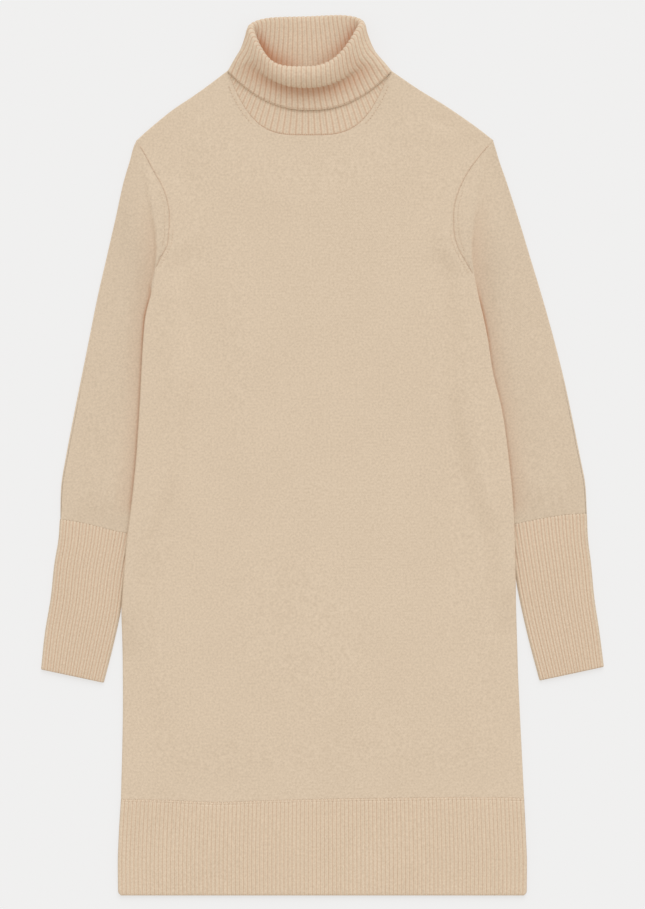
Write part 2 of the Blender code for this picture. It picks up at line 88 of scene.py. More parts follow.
# Outlines in plan (x, h), from the hem line up
SIDE_SEAM: dict[Side, Line] = {
    Side.LEFT: [
        (-231.1, 109.1), (-229.7, 160), (-228.8, 210), (-228.9, 260), (-229.3, 295), (-230, 330),
        (-227.7, 365), (-223.9, 410), (-220, 440), (-213.6, 500), (-209.6, 560), (-207.5, 600),
        (-205.2, 640), (-202.5, 667), (-196.6, 690), (-193.6, 706), (-192.3, 718.8),
    ],
    Side.RIGHT: [
        (232.3, 110.4), (229.8, 160), (227.3, 210), (225.1, 260), (224.1, 295), (222.8, 330),
        (222.2, 365), (221.5, 410), (220.2, 440), (214.7, 500), (206.2, 560), (196.4, 600),
        (190.2, 640), (184.7, 667), (179.3, 690), (176.9, 702), (175.2, 711),
    ],
}
ARMHOLE: dict[Side, Line] = {
    Side.LEFT: [
        (-192.3, 718.8), (-183.8, 735.5), (-178.2, 746.5), (-176.1, 763), (-176.4, 790.5),
        (-181.9, 810.7), (-194.8, 834.6), (-203.5, 851), (-213.3, 867.1),
    ],
    Side.RIGHT: [
        (175.2, 711), (166.4, 726.3), (157.3, 742.8), (152.7, 757.5), (151.5, 772.2),
        (152.3, 792.3), (156.4, 807.1), (171.9, 837.3), (181.1, 849.2), (196.6, 867.7),
    ],
}
SHOULDER: dict[Side, Line] = {
    Side.LEFT: [
        (-213.3, 867.1), (-204.7, 875.1), (-188.6, 888.9), (-171.3, 902.7), (-150.6, 916.5),
        (-131.1, 930.3), (-121.9, 937.2), (-107.8, 948),
    ],
    Side.RIGHT: [
        (196.6, 867.7), (178.2, 882), (158.7, 895.8), (138, 909.6), (115, 923.4), (94.3, 937.2),
        (78.8, 948),
    ],
}
HEM_LINE: Line = [(-231.1, 109.1), (-179.4, 108.2), (-120.3, 105.7), (-69.7, 107.4),
                  (7.8, 109.4), (98.9, 110.7), (188.4, 111.3), (232.3, 110.4)]
HEM_SIDE: dict[Side, Line] = {
    Side.LEFT: [
        (-234.2, 0), (-234.5, 20), (-234.6, 40), (-233.7, 65), (-231.1, 109.1),
    ],
    Side.RIGHT: [
        (235.2, 0), (235.4, 20), (235.5, 40), (234.5, 65), (232.3, 110.4),
    ],
}
OUTER_FOLD: dict[Side, Line] = {
    Side.LEFT: [
        (-213.3, 867.1), (-216.2, 861.3), (-220.8, 845.2), (-227.7, 822.2), (-238, 776),
        (-248.4, 730), (-258.8, 684), (-267.9, 638), (-277.1, 592), (-286.3, 546), (-295, 500),
        (-299, 477), (-301.3, 432),
    ],
    Side.RIGHT: [
        (196.6, 867.7), (200.1, 856.7), (203.5, 845.2), (211.6, 822.2), (226.5, 776),
        (240.3, 730), (254.1, 684), (266.8, 638), (278.3, 592), (288.1, 546), (297.3, 500),
        (301.9, 477), (304.5, 438.5),
    ],
}
# From the underarm down under the body, and out again beside the cuff
INNER_FOLD: dict[Side, Line] = {
    Side.LEFT: [
        (-192.3, 718.8), (-189, 706), (-187, 690), (-185, 668), (-181, 645), (-178, 615),
        (-177.5, 580), (-181, 540), (-188, 500), (-198, 462), (-210, 432), (-217, 415),
    ],
    Side.RIGHT: [
        (175.2, 711), (173, 702), (172, 688), (171.5, 668), (170.5, 648), (169.5, 618),
        (171.5, 585), (178, 545), (187, 505), (197, 468), (207, 440), (213, 425),
    ],
}
CUFF_LINE: dict[Side, Line] = {
    Side.LEFT: [
        (-301.3, 432), (-280, 429), (-258, 424), (-239, 419), (-217, 415),
    ],
    Side.RIGHT: [
        (304.5, 438.5), (283.5, 437.6), (261, 434.5), (223, 427), (213, 425),
    ],
}
CUFF_OUTER: dict[Side, Line] = {
    Side.LEFT: [
        (-301.3, 432), (-303, 408), (-307, 385), (-312.2, 339), (-318, 305), (-323, 259.5),
    ],
    Side.RIGHT: [
        (304.5, 438.5), (305.9, 408), (308.8, 385), (313.4, 339), (318.5, 305), (324, 262.5),
    ],
}
CUFF_INNER: dict[Side, Line] = {
    Side.LEFT: [
        (-217, 415), (-226, 370), (-233, 322), (-241.5, 284), (-251.6, 244.5),
    ],
    Side.RIGHT: [
        (213, 425), (220, 385), (226, 350), (236.4, 302), (250.8, 247),
    ],
}
# Where the cloth of a sleeve beside the armhole turns down, from the shoulder
TUCK: dict[Side, Line] = {
    Side.LEFT: [
        (-206.7, 834.6), (-198.5, 797.9), (-192, 761.2), (-190.8, 739.2), (-193, 717.1),
        (-197, 700),
    ],
    Side.RIGHT: [
        (189.75, 845), (178.4, 790.5), (173.8, 763), (172.8, 735.5), (176.3, 707.9),
        (181.1, 680.5),
    ],
}
CUFF_CLEAR = {Side.LEFT: 325.0, Side.RIGHT: 352.0}  # where the cuff leaves the body


# ---- Curves and patches ----


def along(points: Line | Array, shares: Array) -> Array:
    """Places on the smooth line through some points.

    Args:
        points: The points, in any number of dimensions.
        shares: How far along the line each place is, from 0 to 1.

    Returns:
        One place for each share.
    """
    points = np.asarray(points, float)
    steps = np.linalg.norm(np.diff(points, axis=0), axis=1)
    at = np.concatenate([[0.0], np.cumsum(steps)]) / steps.sum()
    return hermite(at, points, shares)


def hermite(at: Array, values: Array, where: Array) -> Array:
    """The smooth curve through values[i] at at[i].

    Args:
        at: Where the values are.
        values: One row for each of them.
        where: Where the curve is asked for.

    Returns:
        One row for each place that is asked for.
    """
    where = np.atleast_1d(np.asarray(where, float))
    slopes = np.gradient(values, at, axis=0)
    low = np.clip(np.searchsorted(at, where, side="right") - 1, 0, len(at) - 2)
    span = (at[low + 1] - at[low])[:, None]
    t = (where - at[low])[:, None] / span
    return (
        (2 * t**3 - 3 * t**2 + 1) * values[low]
        + (t**3 - 2 * t**2 + t) * span * slopes[low]
        + (3 * t**2 - 2 * t**3) * values[low + 1]
        + (t**3 - t**2) * span * slopes[low + 1]
    )


def smooth_step(value: Array) -> Array:
    """0 below 0, 1 above 1, and a smooth rise between."""
    value = np.clip(value, 0.0, 1.0)
    return value * value * (3 - 2 * value)


def patch(
    first: Array, last: Array, left: Array, right: Array, across: Array, up: Array,
    fade: float = 1.0,
) -> Array:
    """A patch between four border lines.

    Args:
        first: Border at the start of `up`, one place for each column.
        last: Border at its end.
        left: Border at the start of `across`, one place for each row.
        right: Border at its end.
        across: Place of each column, 0 to 1.
        up: Place of each row, 0 to 1.
        fade: How quickly the shape of a side border is lost inwards: 1 is evenly.

    Returns:
        Rows of places in plan.
    """
    u, v = across[None, :, None], up[:, None, None]
    from_left = left[:, None] - (1 - v) * first[0] - v * last[0]
    from_right = right[:, None] - (1 - v) * first[-1] - v * last[-1]
    ruled = (1 - v) * first[None] + v * last[None]
    return ruled + (1 - u) ** fade * from_left + u**fade * from_right


def fade_up(heights: Array, end: tuple[float, float]) -> Array:
    """1 low down and 0 from an end height up, with the fade over the height given second."""
    return smooth_step((end[0] - heights) / end[1])


def x_at(line: Line, heights: Array) -> Array:
    """x where a line that goes steadily up or down passes the given heights."""
    points = np.asarray(sorted(line, key=lambda place: place[1]))
    return np.interp(heights, points[:, 1], points[:, 0])


def edge_at(side: Side, heights: Array) -> Array:
    """x of the body's edge at the given heights."""
    return x_at([*SIDE_SEAM[side], *ARMHOLE[side][1:]], heights)


def ridges(ribs: Array, fullness: float = 0.5) -> Array:
    """Height of a rib knit where `ribs` counts ribs: crests are 1, troughs 0 and narrower."""
    return (0.5 - 0.5 * np.cos(2 * math.pi * ribs)) ** fullness


def rounded(depth: Array, radius: float) -> Array:
    """Share of a wall's thickness that is left at a depth inside its rounded border."""
    return np.sqrt(np.clip(1 - (1 - np.clip(depth / radius, 0, 1)) ** 2, 0.0025, 1))


def bell(gap: Array, width: float) -> Array:
    """1 where a gap is 0, and little past the width on either side."""
    return np.exp(-((gap / width) ** 2))


def inset(shares: Array, size: float) -> Array:
    """How far inside both ends of a length of that size each share of it is."""
    return np.minimum(shares, 1 - shares) * size


def run(points: Array) -> Array:
    """How far along a line each of its points is."""
    return np.append(0.0, np.cumsum(np.linalg.norm(np.diff(points, axis=0), axis=1)))


def unit(ways: Array) -> Array:
    """The same ways, each one long."""
    return ways / np.linalg.norm(ways, axis=-1)[..., None]


# ---- Creases ----


@dataclass(frozen=True)
class Crease:
    """A soft ridge or trough in the lie of the cloth."""

    path: Line  # places in plan that it runs through
    rise: float  # height at its middle, below 0 for a trough, before CREASE_SCALE
    width: float  # from its middle to where little is left of it
    ends: float = 0.8  # how quickly it runs out: below 1 keeps its height for longer

    def height(self, plan: Array) -> Array:
        """Measure it over a grid.

        Args:
            plan: Places in plan.

        Returns:
            Its height at each place.
        """
        pieces = 32
        line = along(self.path, np.linspace(0, 1, pieces + 1))
        nearest = np.full(plan.shape[:-1], np.inf)
        share = np.zeros(plan.shape[:-1])
        for step, (start, end) in enumerate(zip(line[:-1], line[1:])):
            way = end - start
            t = np.clip(((plan - start) @ way) / (way @ way), 0, 1)
            gap = np.linalg.norm(plan - start - t[..., None] * way, axis=-1)
            share = np.where(gap < nearest, (step + t) / pieces, share)
            nearest = np.minimum(nearest, gap)
        ridge = CREASE_SCALE * self.rise * bell(nearest, self.width)
        return ridge * np.sin(math.pi * share) ** self.ends


def creased(plan: Array, creases: Sequence[Crease]) -> Array:
    """Height that some creases give together at each place of a plan."""
    return sum((crease.height(plan) for crease in creases), np.zeros(plan.shape[:-1]))


# ---- Shaders ----


class Value:
    """A number that varies over a surface, with the operators that the finishes use."""

    def __init__(self, graph: "Graph", socket: bpy.types.NodeSocket) -> None:
        """Wrap an output of one of a graph's nodes.

        Args:
            graph: The graph.
            socket: The output.
        """
        self.graph = graph
        self.socket = socket

    def math(self, operation: str, *others: "Value | float") -> "Value":
        """The result of a Math node on this number and others."""
        return self.graph.math(operation, self, *others)

    def __add__(self, other: "Value | float") -> "Value":
        """This number plus another."""
        return self.math("ADD", other)

    def __sub__(self, other: "Value | float") -> "Value":
        """This number less another."""
        return self.math("SUBTRACT", other)

    def __mul__(self, other: "Value | float") -> "Value":
        """This number times another."""
        return self.math("MULTIPLY", other)

    def __abs__(self) -> "Value":
        """Its distance from 0."""
        return self.math("ABSOLUTE")

    def part(self) -> "Value":
        """What is left of it after its whole part."""
        return self.math("FRACT")

    def wave(self) -> "Value":
        """0 to 1 and back once for each whole number."""
        return (self * (2 * math.pi)).math("SINE") * 0.5 + 0.5


class Graph:
    """The node tree of one material."""

    def __init__(self, name: str) -> None:
        """Start a material with nothing but its shader and its output.

        Args:
            name: Its name.
        """
        self.material = bpy.data.materials.new(name)
        self.material.use_nodes = True
        self.tree = self.material.node_tree

    def node(
        self,
        kind: str,
        settings: dict[str, object] | None = None,
        inputs: dict[str | int, object] | None = None,
    ) -> bpy.types.Node:
        """Add one node.

        Args:
            kind: Blender's name for its type.
            settings: Its settings, which are set first.
            inputs: Values, or links from other nodes, by the name or number of the input.

        Returns:
            The node.
        """
        made = self.tree.nodes.new(kind)
        for key, setting in (settings or {}).items():
            setattr(made, key, setting)
        for key, given in (inputs or {}).items():
            self.feed(made.inputs[key], given)
        return made

    def feed(self, socket: bpy.types.NodeSocket, given: object) -> None:
        """Link or set one input of a node.

        Args:
            socket: The input.
            given: A value or another node's output to link to it, or a constant.
        """
        if isinstance(given, Value):
            self.tree.links.new(given.socket, socket)
        elif isinstance(given, bpy.types.NodeSocket):
            self.tree.links.new(given, socket)
        else:
            socket.default_value = given

    def dress(self, inputs: dict[str, object]) -> None:
        """Feed the material's shader."""
        for key, given in inputs.items():
            self.feed(self.tree.nodes["Principled BSDF"].inputs[key], given)

    def math(self, operation: str, *terms: Value | float) -> Value:
        """The result of one Math node."""
        made = self.node("ShaderNodeMath", {"operation": operation}, dict(enumerate(terms)))
        return Value(self, made.outputs[0])

    def noise(self, scale: float, detail: float, where: bpy.types.NodeSocket) -> Value:
        """A cloudy number from 0 to 1, with so many features to the metre."""
        inputs = {"Vector": where, "Scale": scale, "Detail": detail}
        return Value(self, self.node("ShaderNodeTexNoise", {}, inputs).outputs[0])

    def mix(self, share: Value | float, first: object, second: object) -> bpy.types.NodeSocket:
        """A colour between two others."""
        terms = {0: share, 6: first, 7: second}
        return self.node("ShaderNodeMix", {"data_type": "RGBA"}, terms).outputs[2]


Colour = tuple[float, float, float, float]
PLAIN_LIGHT: Colour = (0.76, 0.625, 0.475, 1.0)
RIB_LIGHT: Colour = (0.75, 0.615, 0.465, 1.0)


@dataclass(frozen=True)
class Cloth:
    """A finish in use: its material, and the name of a slot that it carries."""

    material: bpy.types.Material
    slot: str


@dataclass(frozen=True)
class KnitFinish:
    """A knitted wool cloth: rows of stitches, a soft surface, an even melange and painted shade in
    its hollows.
    """

    name: str  # name of its material
    slot: str  # the slot that it takes
    light: Colour  # colour where the yarn stands out: painted light on the stitches, and the light end of the melange
    across: float  # width of one column of stitches
    dark: Colour = (0.60, 0.48, 0.352, 1.0)  # colour where the stitches sink: painted shade between them, and the dark end of the melange
    # Share of that colour's red, green and blue in the warm painted shade of troughs, folds and
    # pockets
    painted_shade: tuple[float, float, float] = (0.88, 0.43, 0.25)
    up: float = COURSE  # height of one row of stitches
    depth: float = 0.5  # how far the stitches stand out
    relief: float = 0.5  # how strongly they show
    shade: float = 0.35  # how dark the painted shade is at a depth of 1
    # Slow unevenness: features to the metre, and its share of the tone
    clouds: tuple[float, float] = (16, 0.25)
    flecks: tuple[float, float] = (420, 1.6)  # the same for the melange
    fibre: tuple[float, float] = (1500, 0.35)  # the same for the yarn's own roughness

    def cloth(self) -> Cloth:
        """Build its material, which reads the pieces' own stitch map and painted shade depths."""
        graph = Graph(self.name)
        lie = graph.node("ShaderNodeUVMap", {"uv_map": "stitches"})
        split = graph.node("ShaderNodeSeparateXYZ", {}, {0: lie.outputs[0]})
        across = Value(graph, split.outputs[0]) * (1 / (self.across * MM))
        up = Value(graph, split.outputs[1]) * (1 / (self.up * MM))
        place = graph.node("ShaderNodeTexCoord").outputs["Object"]
        off_middle = abs(across.part() - 0.5) * 2
        leg = (off_middle * math.pi).math("SINE")
        loop = (up + off_middle * 0.8).wave()
        yarn = graph.noise(self.fibre[0], 2, place)
        stitch = leg * (loop * 0.5 + 0.5) + yarn * self.fibre[1]
        relief = {"Strength": self.relief, "Distance": self.depth * MM, "Height": stitch}
        bump = graph.node("ShaderNodeBump", {}, relief)
        cloud, fleck = graph.noise(self.clouds[0], 3, place), graph.noise(self.flecks[0], 2, place)
        uneven = (cloud - 0.5) * self.clouds[1]
        # Tone: painted shade between the stitches where they sink, plus the melange's own
        # unevenness
        tone = (stitch - 0.5) * 0.6 + uneven + (fleck - 0.5) * self.flecks[1] + 0.5
        colour = graph.mix(tone.math("MINIMUM", 1.0), self.dark, self.light)
        # Painted shade: each piece's depths mix the colour towards a warm dark tone in troughs,
        # between folds and in pockets
        trough = graph.node("ShaderNodeAttribute", {"attribute_name": "trough"})
        shade = Value(graph, trough.outputs["Fac"]) * self.shade
        painted_shade = tuple(tone * left for tone, left in zip(self.dark, self.painted_shade))
        graph.dress({
            "Base Color": graph.mix(shade, colour, (*painted_shade, 1.0)),
            "Normal": bump.outputs[0],
            "Roughness": yarn * 0.1 + 0.85,
            "Specular IOR Level": 0.12,
            "Sheen Weight": 0.06,
            "Sheen Roughness": 0.5,
        })
        return Cloth(graph.material, self.slot)


@dataclass(frozen=True)
class SurfaceFinish:
    """The plain pale surface that the dress lies on."""

    colour: Colour = (0.26, 0.26, 0.26, 1.0)
    glow: float = 0.605

    def material(self) -> bpy.types.Material:
        """Build its material, with a faint tooth."""
        graph = Graph("pale_surface")
        place = graph.node("ShaderNodeTexCoord").outputs["Object"]
        tooth = graph.noise(300, 2, place)
        graph.dress({
            "Base Color": self.colour,
            "Roughness": tooth * 0.05 + 0.93,
            "Specular IOR Level": 0.0,
            "Emission Color": (1.0, 1.0, 1.0, 1.0),
            "Emission Strength": self.glow,
        })
        return graph.material


# ---- Walls of cloth ----


@dataclass
class Face:
    """One face of a wall of cloth, as a grid."""

    points: Array  # rows of columns of points (x, h, z)
    at: Array  # place of each column across the wall, on one scale for both faces
    # Place of each point in the cloth, along and up its rows of stitches. A tube has one column
    # more than it has points, where it closes.
    stitches: Array
    trough: Array | float = 0.0  # painted shade at each point: in the troughs between ribs, between folds and at the feet of stitches; 0 in the open
    up: Array | None = None  # place of each row, on one scale for both faces

    def __post_init__(self) -> None:
        """Give every point a painted shade depth and every row a place."""
        self.trough = np.broadcast_to(self.trough, self.points.shape[:2])
        self.up = np.arange(len(self.points)) if self.up is None else self.up

    def coarser(self, rows: int, columns: int) -> "Face":
        """Thin it out, for a side that is hidden.

        Args:
            rows: Of how many rows one is kept.
            columns: The same for its columns.

        Returns:
            The same face with fewer points.
        """
        keep = [
            np.unique(np.append(np.arange(0, size, step), size - 1))
            for size, step in zip(self.trough.shape, (rows, columns))
        ]
        pick = np.ix_(*keep)
        return Face(
            self.points[pick], self.at[keep[1]], self.stitches[pick], self.trough[pick],
            self.up[keep[0]],
        )


@dataclass
class Piece:
    """A mesh of cloth or yarn, and what it stands for."""

    name: str
    points: Array  # places (x, h, z) of its vertices
    faces: list[list[int]]  # corners of each face
    trough: Array  # painted shade depth of each vertex
    vertex_of: Array  # the vertex at each corner
    stitches: Array  # the place in the cloth of each corner
    node: str = ""  # the CAD solid that it replaces, if there is one

    def build(self, cloth: Cloth) -> bpy.types.Object:
        """Make it and let it ride on the dress.

        Args:
            cloth: Its finish.

        Returns:
            The piece, with its stitch map and painted shade depths.
        """
        points = self.points - (0.0, LENGTH / 2, 0.0)
        points[:, 2] = np.maximum(points[:, 2], 0.0)
        points *= MM
        way = -1 if self.inside_out(points) else 1
        faces = [face[::way] for face in self.faces]
        mesh = bpy.data.meshes.new(self.name)
        mesh.from_pydata(points.tolist(), [], [self.vertex_of[face].tolist() for face in faces])
        lie = mesh.uv_layers.new(name="stitches")
        corners = np.array([corner for face in faces for corner in face])
        lie.data.foreach_set("uv", (self.stitches[corners] * MM).reshape(-1).astype(np.float32))
        # The painted shade depths go to the material as a point attribute
        depth = mesh.attributes.new("trough", "FLOAT", "POINT")
        depth.data.foreach_set("value", self.trough.astype(np.float32))
        mesh.shade_smooth()
        mesh.materials.append(cloth.material)
        made = bpy.data.objects.new(self.name, mesh)
        bpy.context.scene.collection.objects.link(made)
        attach(made, "root")
        if self.node:
            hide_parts(self.node)
        LOG.info("%s: %d faces", self.name, len(faces))
        return made

    def inside_out(self, points: Array) -> bool:
        """Work out whether its faces turn inwards, from the volume that they close.

        Args:
            points: Its vertices in the scene.

        Returns:
            Whether they do.
        """
        total = 0.0
        for count in (3, 4):
            faces = np.array([face for face in self.faces if len(face) == count], int)
            ring = points[self.vertex_of[faces.reshape(-1, count)]]
            for second in range(1, count - 1):
                a, b, c = ring[:, 0], ring[:, second], ring[:, second + 1]
                total += float(np.einsum("ij,ij->i", a, np.cross(b, c)).sum())
        return total < 0


@dataclass
class Wall:
    """A closed wall of cloth between two faces."""

    name: str
    node: str  # the CAD solid that it replaces
    outer: Face  # the one that shows
    inner: Face
    around: float = 0.0  # where the scale of places closes, for a tube, or 0

    def build(self, cloth: Cloth) -> bpy.types.Object:
        """Join the two faces along their borders and make the piece.

        Args:
            cloth: Its finish.

        Returns:
            The piece.
        """
        both = (self.outer, self.inner)
        corners, vertices, places, start = [], [], [], 0
        for face in both:
            vertex = np.arange(face.trough.size).reshape(face.trough.shape) + start
            start += vertex.size
            if self.around:
                vertex = np.column_stack([vertex, vertex[:, 0]])
            corner = np.arange(vertex.size) + sum(map(len, vertices))
            corners.append(corner.reshape(vertex.shape))
            vertices.append(vertex.reshape(-1))
            places.append(np.append(face.at, self.around) if self.around else face.at)
        outer, inner = corners
        faces = self.squares(outer) + [face[::-1] for face in self.squares(inner)]
        for row in (0, -1):
            faces += self.zipped(outer[row], inner[row], *places, row == 0)
        for column in () if self.around else (0, -1):
            up = [face.up for face in both]
            faces += self.zipped(outer[:, column], inner[:, column], *up, column == -1)
        return Piece(
            self.name,
            np.concatenate([face.points.reshape(-1, 3) for face in both]),
            faces,
            np.concatenate([face.trough.reshape(-1) for face in both]),
            np.concatenate(vertices),
            np.concatenate([face.stitches.reshape(-1, 2) for face in both]),
            self.node,
        ).build(cloth)

    @staticmethod
    def squares(corner: Array) -> list[list[int]]:
        """The faces of a grid of corners."""
        ring = [corner[:-1, :-1], corner[:-1, 1:], corner[1:, 1:], corner[1:, :-1]]
        return np.stack(ring, axis=-1).reshape(-1, 4).tolist()

    @staticmethod
    def zipped(
        first: Array, second: Array, first_at: Array, second_at: Array, turned: bool
    ) -> list[list[int]]:
        """Join two rows of corners.

        Args:
            first: Corners of one row.
            second: Corners of the other.
            first_at: Place of each corner of the first along it.
            second_at: The same for the second.
            turned: Whether to turn the triangles over.

        Returns:
            The triangles between them.
        """
        faces, i, j = [], 0, 0
        i_last, j_last = len(first) - 1, len(second) - 1
        while i < i_last or j < j_last:
            if j == j_last or (i < i_last and first_at[i + 1] <= second_at[j + 1]):
                face = [first[i], first[i + 1], second[j]]
                i += 1
            else:
                face = [first[i], second[j + 1], second[j]]
                j += 1
            faces.append([int(corner) for corner in (face[::-1] if turned else face)])
        return faces


def raised(plan: Array, height: Array | float) -> Array:
    """A grid of plan places at the given heights, as points."""
    return np.concatenate([plan, np.broadcast_to(height, plan.shape[:2])[..., None]], axis=2)


# ---- Body ----


@dataclass
class Body:
    """The front and back panels of plain knit, from the hem line to the shoulders."""

    lift: float = 5.4  # underside of the body above the surface, over the sleeves
    lift_margin: float = 8.0  # how far it stays up past the sleeve's hidden edge
    lift_ramp: float = 28.0  # over what width it then comes down to the surface
    # h and height of its underside along the armhole
    armhole_lift: tuple[tuple[float, float], ...] = (
        (694, 5.4), (719, 4.7), (760, 3.8), (800, 2.6), (835, 1.1), (862, 0)
    )
    lift_fade: float = 50.0  # height over which the lift ends below a cuff's crossing
    puff: float = 2.6  # loft of the front over the back
    puff_side: float = 62.0  # how far inside the sides that loft is whole
    puff_end: float = 90.0  # the same inside the hem line and the top
    puff_top: float = 10.0  # how far inside the top edge itself counts as being
    width: float = 420.0  # width of a panel, which turns shares of it into depths
    length: float = 830.0  # the same up the panel
    armhole_depth: float = 6.0  # added to the depth beside an armhole, where a seam is
    armhole_ramp: float = 0.03  # share of the length over which that comes in
    edge: float = 2.2  # radius of the side edges
    end: float = 1.0  # radius at the hem line and the top
    held: tuple[float, float] = (18.0, 10.0)  # inside sides and ends, where creases are whole
    end_left: float = 0.45  # share of the thickness that the front keeps there
    hollow: float = 0.9  # deepest of the back's creases
    hollow_held: float = 20.0  # how far inside the sides these are whole
    neck_column: float = 0.254  # share of the width at which the neckline begins
    fade: float = 6.0  # how quickly the shape of the sides is lost inwards
    # Main creases of the front
    creases: tuple[Crease, ...] = (
        Crease([(-102, 815), (-99, 700), (-96, 560), (-90, 440)], 0.9, 20),
        Crease([(117, 760), (124, 640), (135, 480), (138, 330)], 0.9, 17),
        Crease([(146, 700), (152, 560), (157, 420), (150, 270)], -1.0, 16),
        Crease([(-190, 640), (-187, 540), (-184, 430)], -0.9, 13),
        Crease([(-150, 500), (-146, 400), (-152, 300)], 0.5, 16),
        Crease([(-60, 420), (-20, 300), (30, 190)], 1.3, 70),
        Crease([(122, 896), (138, 888), (156, 877)], -0.7, 7),
        Crease([(112, 886), (130, 874), (146, 861)], 0.5, 8),
        Crease([(174, 868), (181, 855), (186, 838)], -0.7, 9),
        Crease([(-150, 900), (-160, 880), (-168, 850)], -0.4, 9),
        Crease([(-172, 740), (-150, 733), (-120, 738)], -0.5, 10),
        Crease([(150, 728), (132, 722), (108, 726)], -0.5, 9),
        Crease([(60, 240), (72, 180), (66, 130)], -0.5, 18),
        Crease([(-140, 210), (-132, 160), (-136, 118)], 0.45, 15),
        Crease([(185, 420), (192, 330), (190, 230)], 0.6, 12),
        Crease([(-206, 330), (-200, 240), (-204, 160)], -0.45, 12),
    )
    # Main creases of the back, in its underside
    back_creases: tuple[Crease, ...] = (
        Crease([(-88, 800), (-96, 650), (-84, 470)], 0.7, 18),
        Crease([(104, 720), (118, 560), (112, 380)], 0.8, 20),
        Crease([(20, 560), (8, 400), (24, 220)], 0.6, 26),
        Crease([(-150, 330), (-140, 230), (-152, 150)], 0.6, 16),
        Crease([(60, 880), (20, 868), (-60, 872)], 0.5, 12),
    )

    def columns(self) -> Array:
        """Place of each column across a panel, 0 to 1, finer at the edges."""
        edge = np.concatenate([
            [0, 0.0006, 0.0014, 0.0024, 0.0036, 0.005, 0.008, 0.012],
            np.linspace(0.02, self.neck_column, 26),
        ])
        neck = 0.5 + (0.5 - self.neck_column) * self.neck_places()
        return np.concatenate([edge, neck, 1 - edge[::-1]])

    def neck_places(self) -> Array:
        """Place of each column of the neckline, −1 to 1."""
        half = np.concatenate([np.linspace(0.03, 0.9, 24), [0.935, 0.97]])
        return np.concatenate([-half[::-1], half])

    def rows(self) -> Array:
        """Place of each row up a panel, 0 to 1, finer at the hem line and the top."""
        ends = np.array([0, 0.0003, 0.0008, 0.0015, 0.004, 0.008])
        low = np.concatenate([ends, np.linspace(0.014, UNDERARM, 118)])
        return np.concatenate([low, np.linspace(UNDERARM, 1 - 0.014, 42)[1:], 1 - ends[::-1]])

    def most(self, side: Side, h: Array) -> Array:
        """Find how high one of its edges lies.

        Args:
            side: Which edge.
            h: Heights up the dress.

        Returns:
            How far above the surface it is at each of them.
        """
        clear = CUFF_CLEAR[side]
        places, lifts = zip(*self.armhole_lift)
        return np.interp(h, [clear - self.lift_fade, clear, *places], [0.0, self.lift, *lifts])

    def height(self, plan: Array) -> Array:
        """Find how high it lies: over the sleeves' hidden edges and no more.

        Args:
            plan: Places in plan.

        Returns:
            How far its underside is above the surface at each of them.
        """
        x, h = plan[..., 0], plan[..., 1]
        total = np.zeros(x.shape)
        for side in Side:
            edge = edge_at(side, h)
            inner = x_at([*INNER_FOLD[side], *CUFF_INNER[side][1:]], h)
            hidden = np.maximum(0.0, side.value * (edge - inner))
            inside = side.value * (edge - x) - hidden - self.lift_margin
            total += self.most(side, h) * (1 - smooth_step(inside / self.lift_ramp))
        return total

    def neckline(self, depth: float) -> Array:
        """Draw the neckline of a panel between its corners.

        Args:
            depth: h at its middle.

        Returns:
            Its places in plan.
        """
        places, collar = self.neck_places(), COLLAR_RINGS[0]
        half = abs(SHOULDER[Side.LEFT][-1][0] - collar.centre)
        bowl = (collar.side - depth) * (1 - np.abs(places) ** collar.left)
        return np.stack([collar.centre + half * places, collar.side - bowl - SEAM], axis=1)

    def plan(self, neck_depth: float) -> Array:
        """Draw a panel in plan.

        Args:
            neck_depth: h at the neckline's middle.

        Returns:
            Rows of places, from the hem line up.
        """
        across, up = self.columns(), self.rows()
        on_shoulder = int(np.searchsorted(across, self.neck_column + 1e-9))
        share = across[:on_shoulder] / across[on_shoulder - 1]
        left = along(SHOULDER[Side.LEFT], share)
        right = along(SHOULDER[Side.RIGHT], share)[::-1]
        top = np.concatenate([left, self.neckline(neck_depth), right])
        sides = []
        for side in Side:
            seam = along(SIDE_SEAM[side], up[up < UNDERARM] / UNDERARM)
            over = (up[up >= UNDERARM] - UNDERARM) / (1 - UNDERARM)
            armhole = along(ARMHOLE[side], over) - (side.value * SEAM / 2, 0)
            sides.append(np.concatenate([seam, armhole]))
        top[0], top[-1] = sides[0][-1], sides[1][-1]
        bottom = along(HEM_LINE, across) + (0, SEAM / 2)
        sides[0][0], sides[1][0] = bottom[0], bottom[-1]
        return patch(bottom, top, sides[0], sides[1], across, up, self.fade)

    def loft(self, plan: Array) -> Array:
        """Raise the front over the back, by how far inside its borders it is.

        Args:
            plan: Places in plan of its grid.

        Returns:
            The loft at each of them.
        """
        top, sides = np.full(plan.shape[:2], np.inf), np.full(plan.shape[:2], np.inf)
        for place in plan[-1, ::2]:
            top = np.minimum(top, np.linalg.norm(plan - place, axis=-1))
        for column in (0, -1):
            sides = np.minimum(sides, np.abs(plan[..., 0] - plan[:, column, None, 0]))
        above_hem = plan[..., 1] - HEM_HEIGHT
        return (
            self.puff * smooth_step(sides / self.puff_side)
            * smooth_step(above_hem / self.puff_end)
            * smooth_step((top + self.puff_top) / self.puff_end)
        )

    def borders(self) -> tuple[Array, Array]:
        """Depth inside the side edges and inside the hem line and top, as grids."""
        across, up = self.columns()[None, :], self.rows()[:, None]
        flush = self.armhole_depth * smooth_step((up - UNDERARM) / self.armhole_ramp)
        sides = inset(across, self.width) * np.ones_like(up) + flush
        return sides, inset(up, self.length) * np.ones_like(across)

    def face(self, plan: Array, z: Array) -> Face:
        """A face of a panel, on the stitches of the panel."""
        return Face(raised(plan, z), self.columns(), plan)

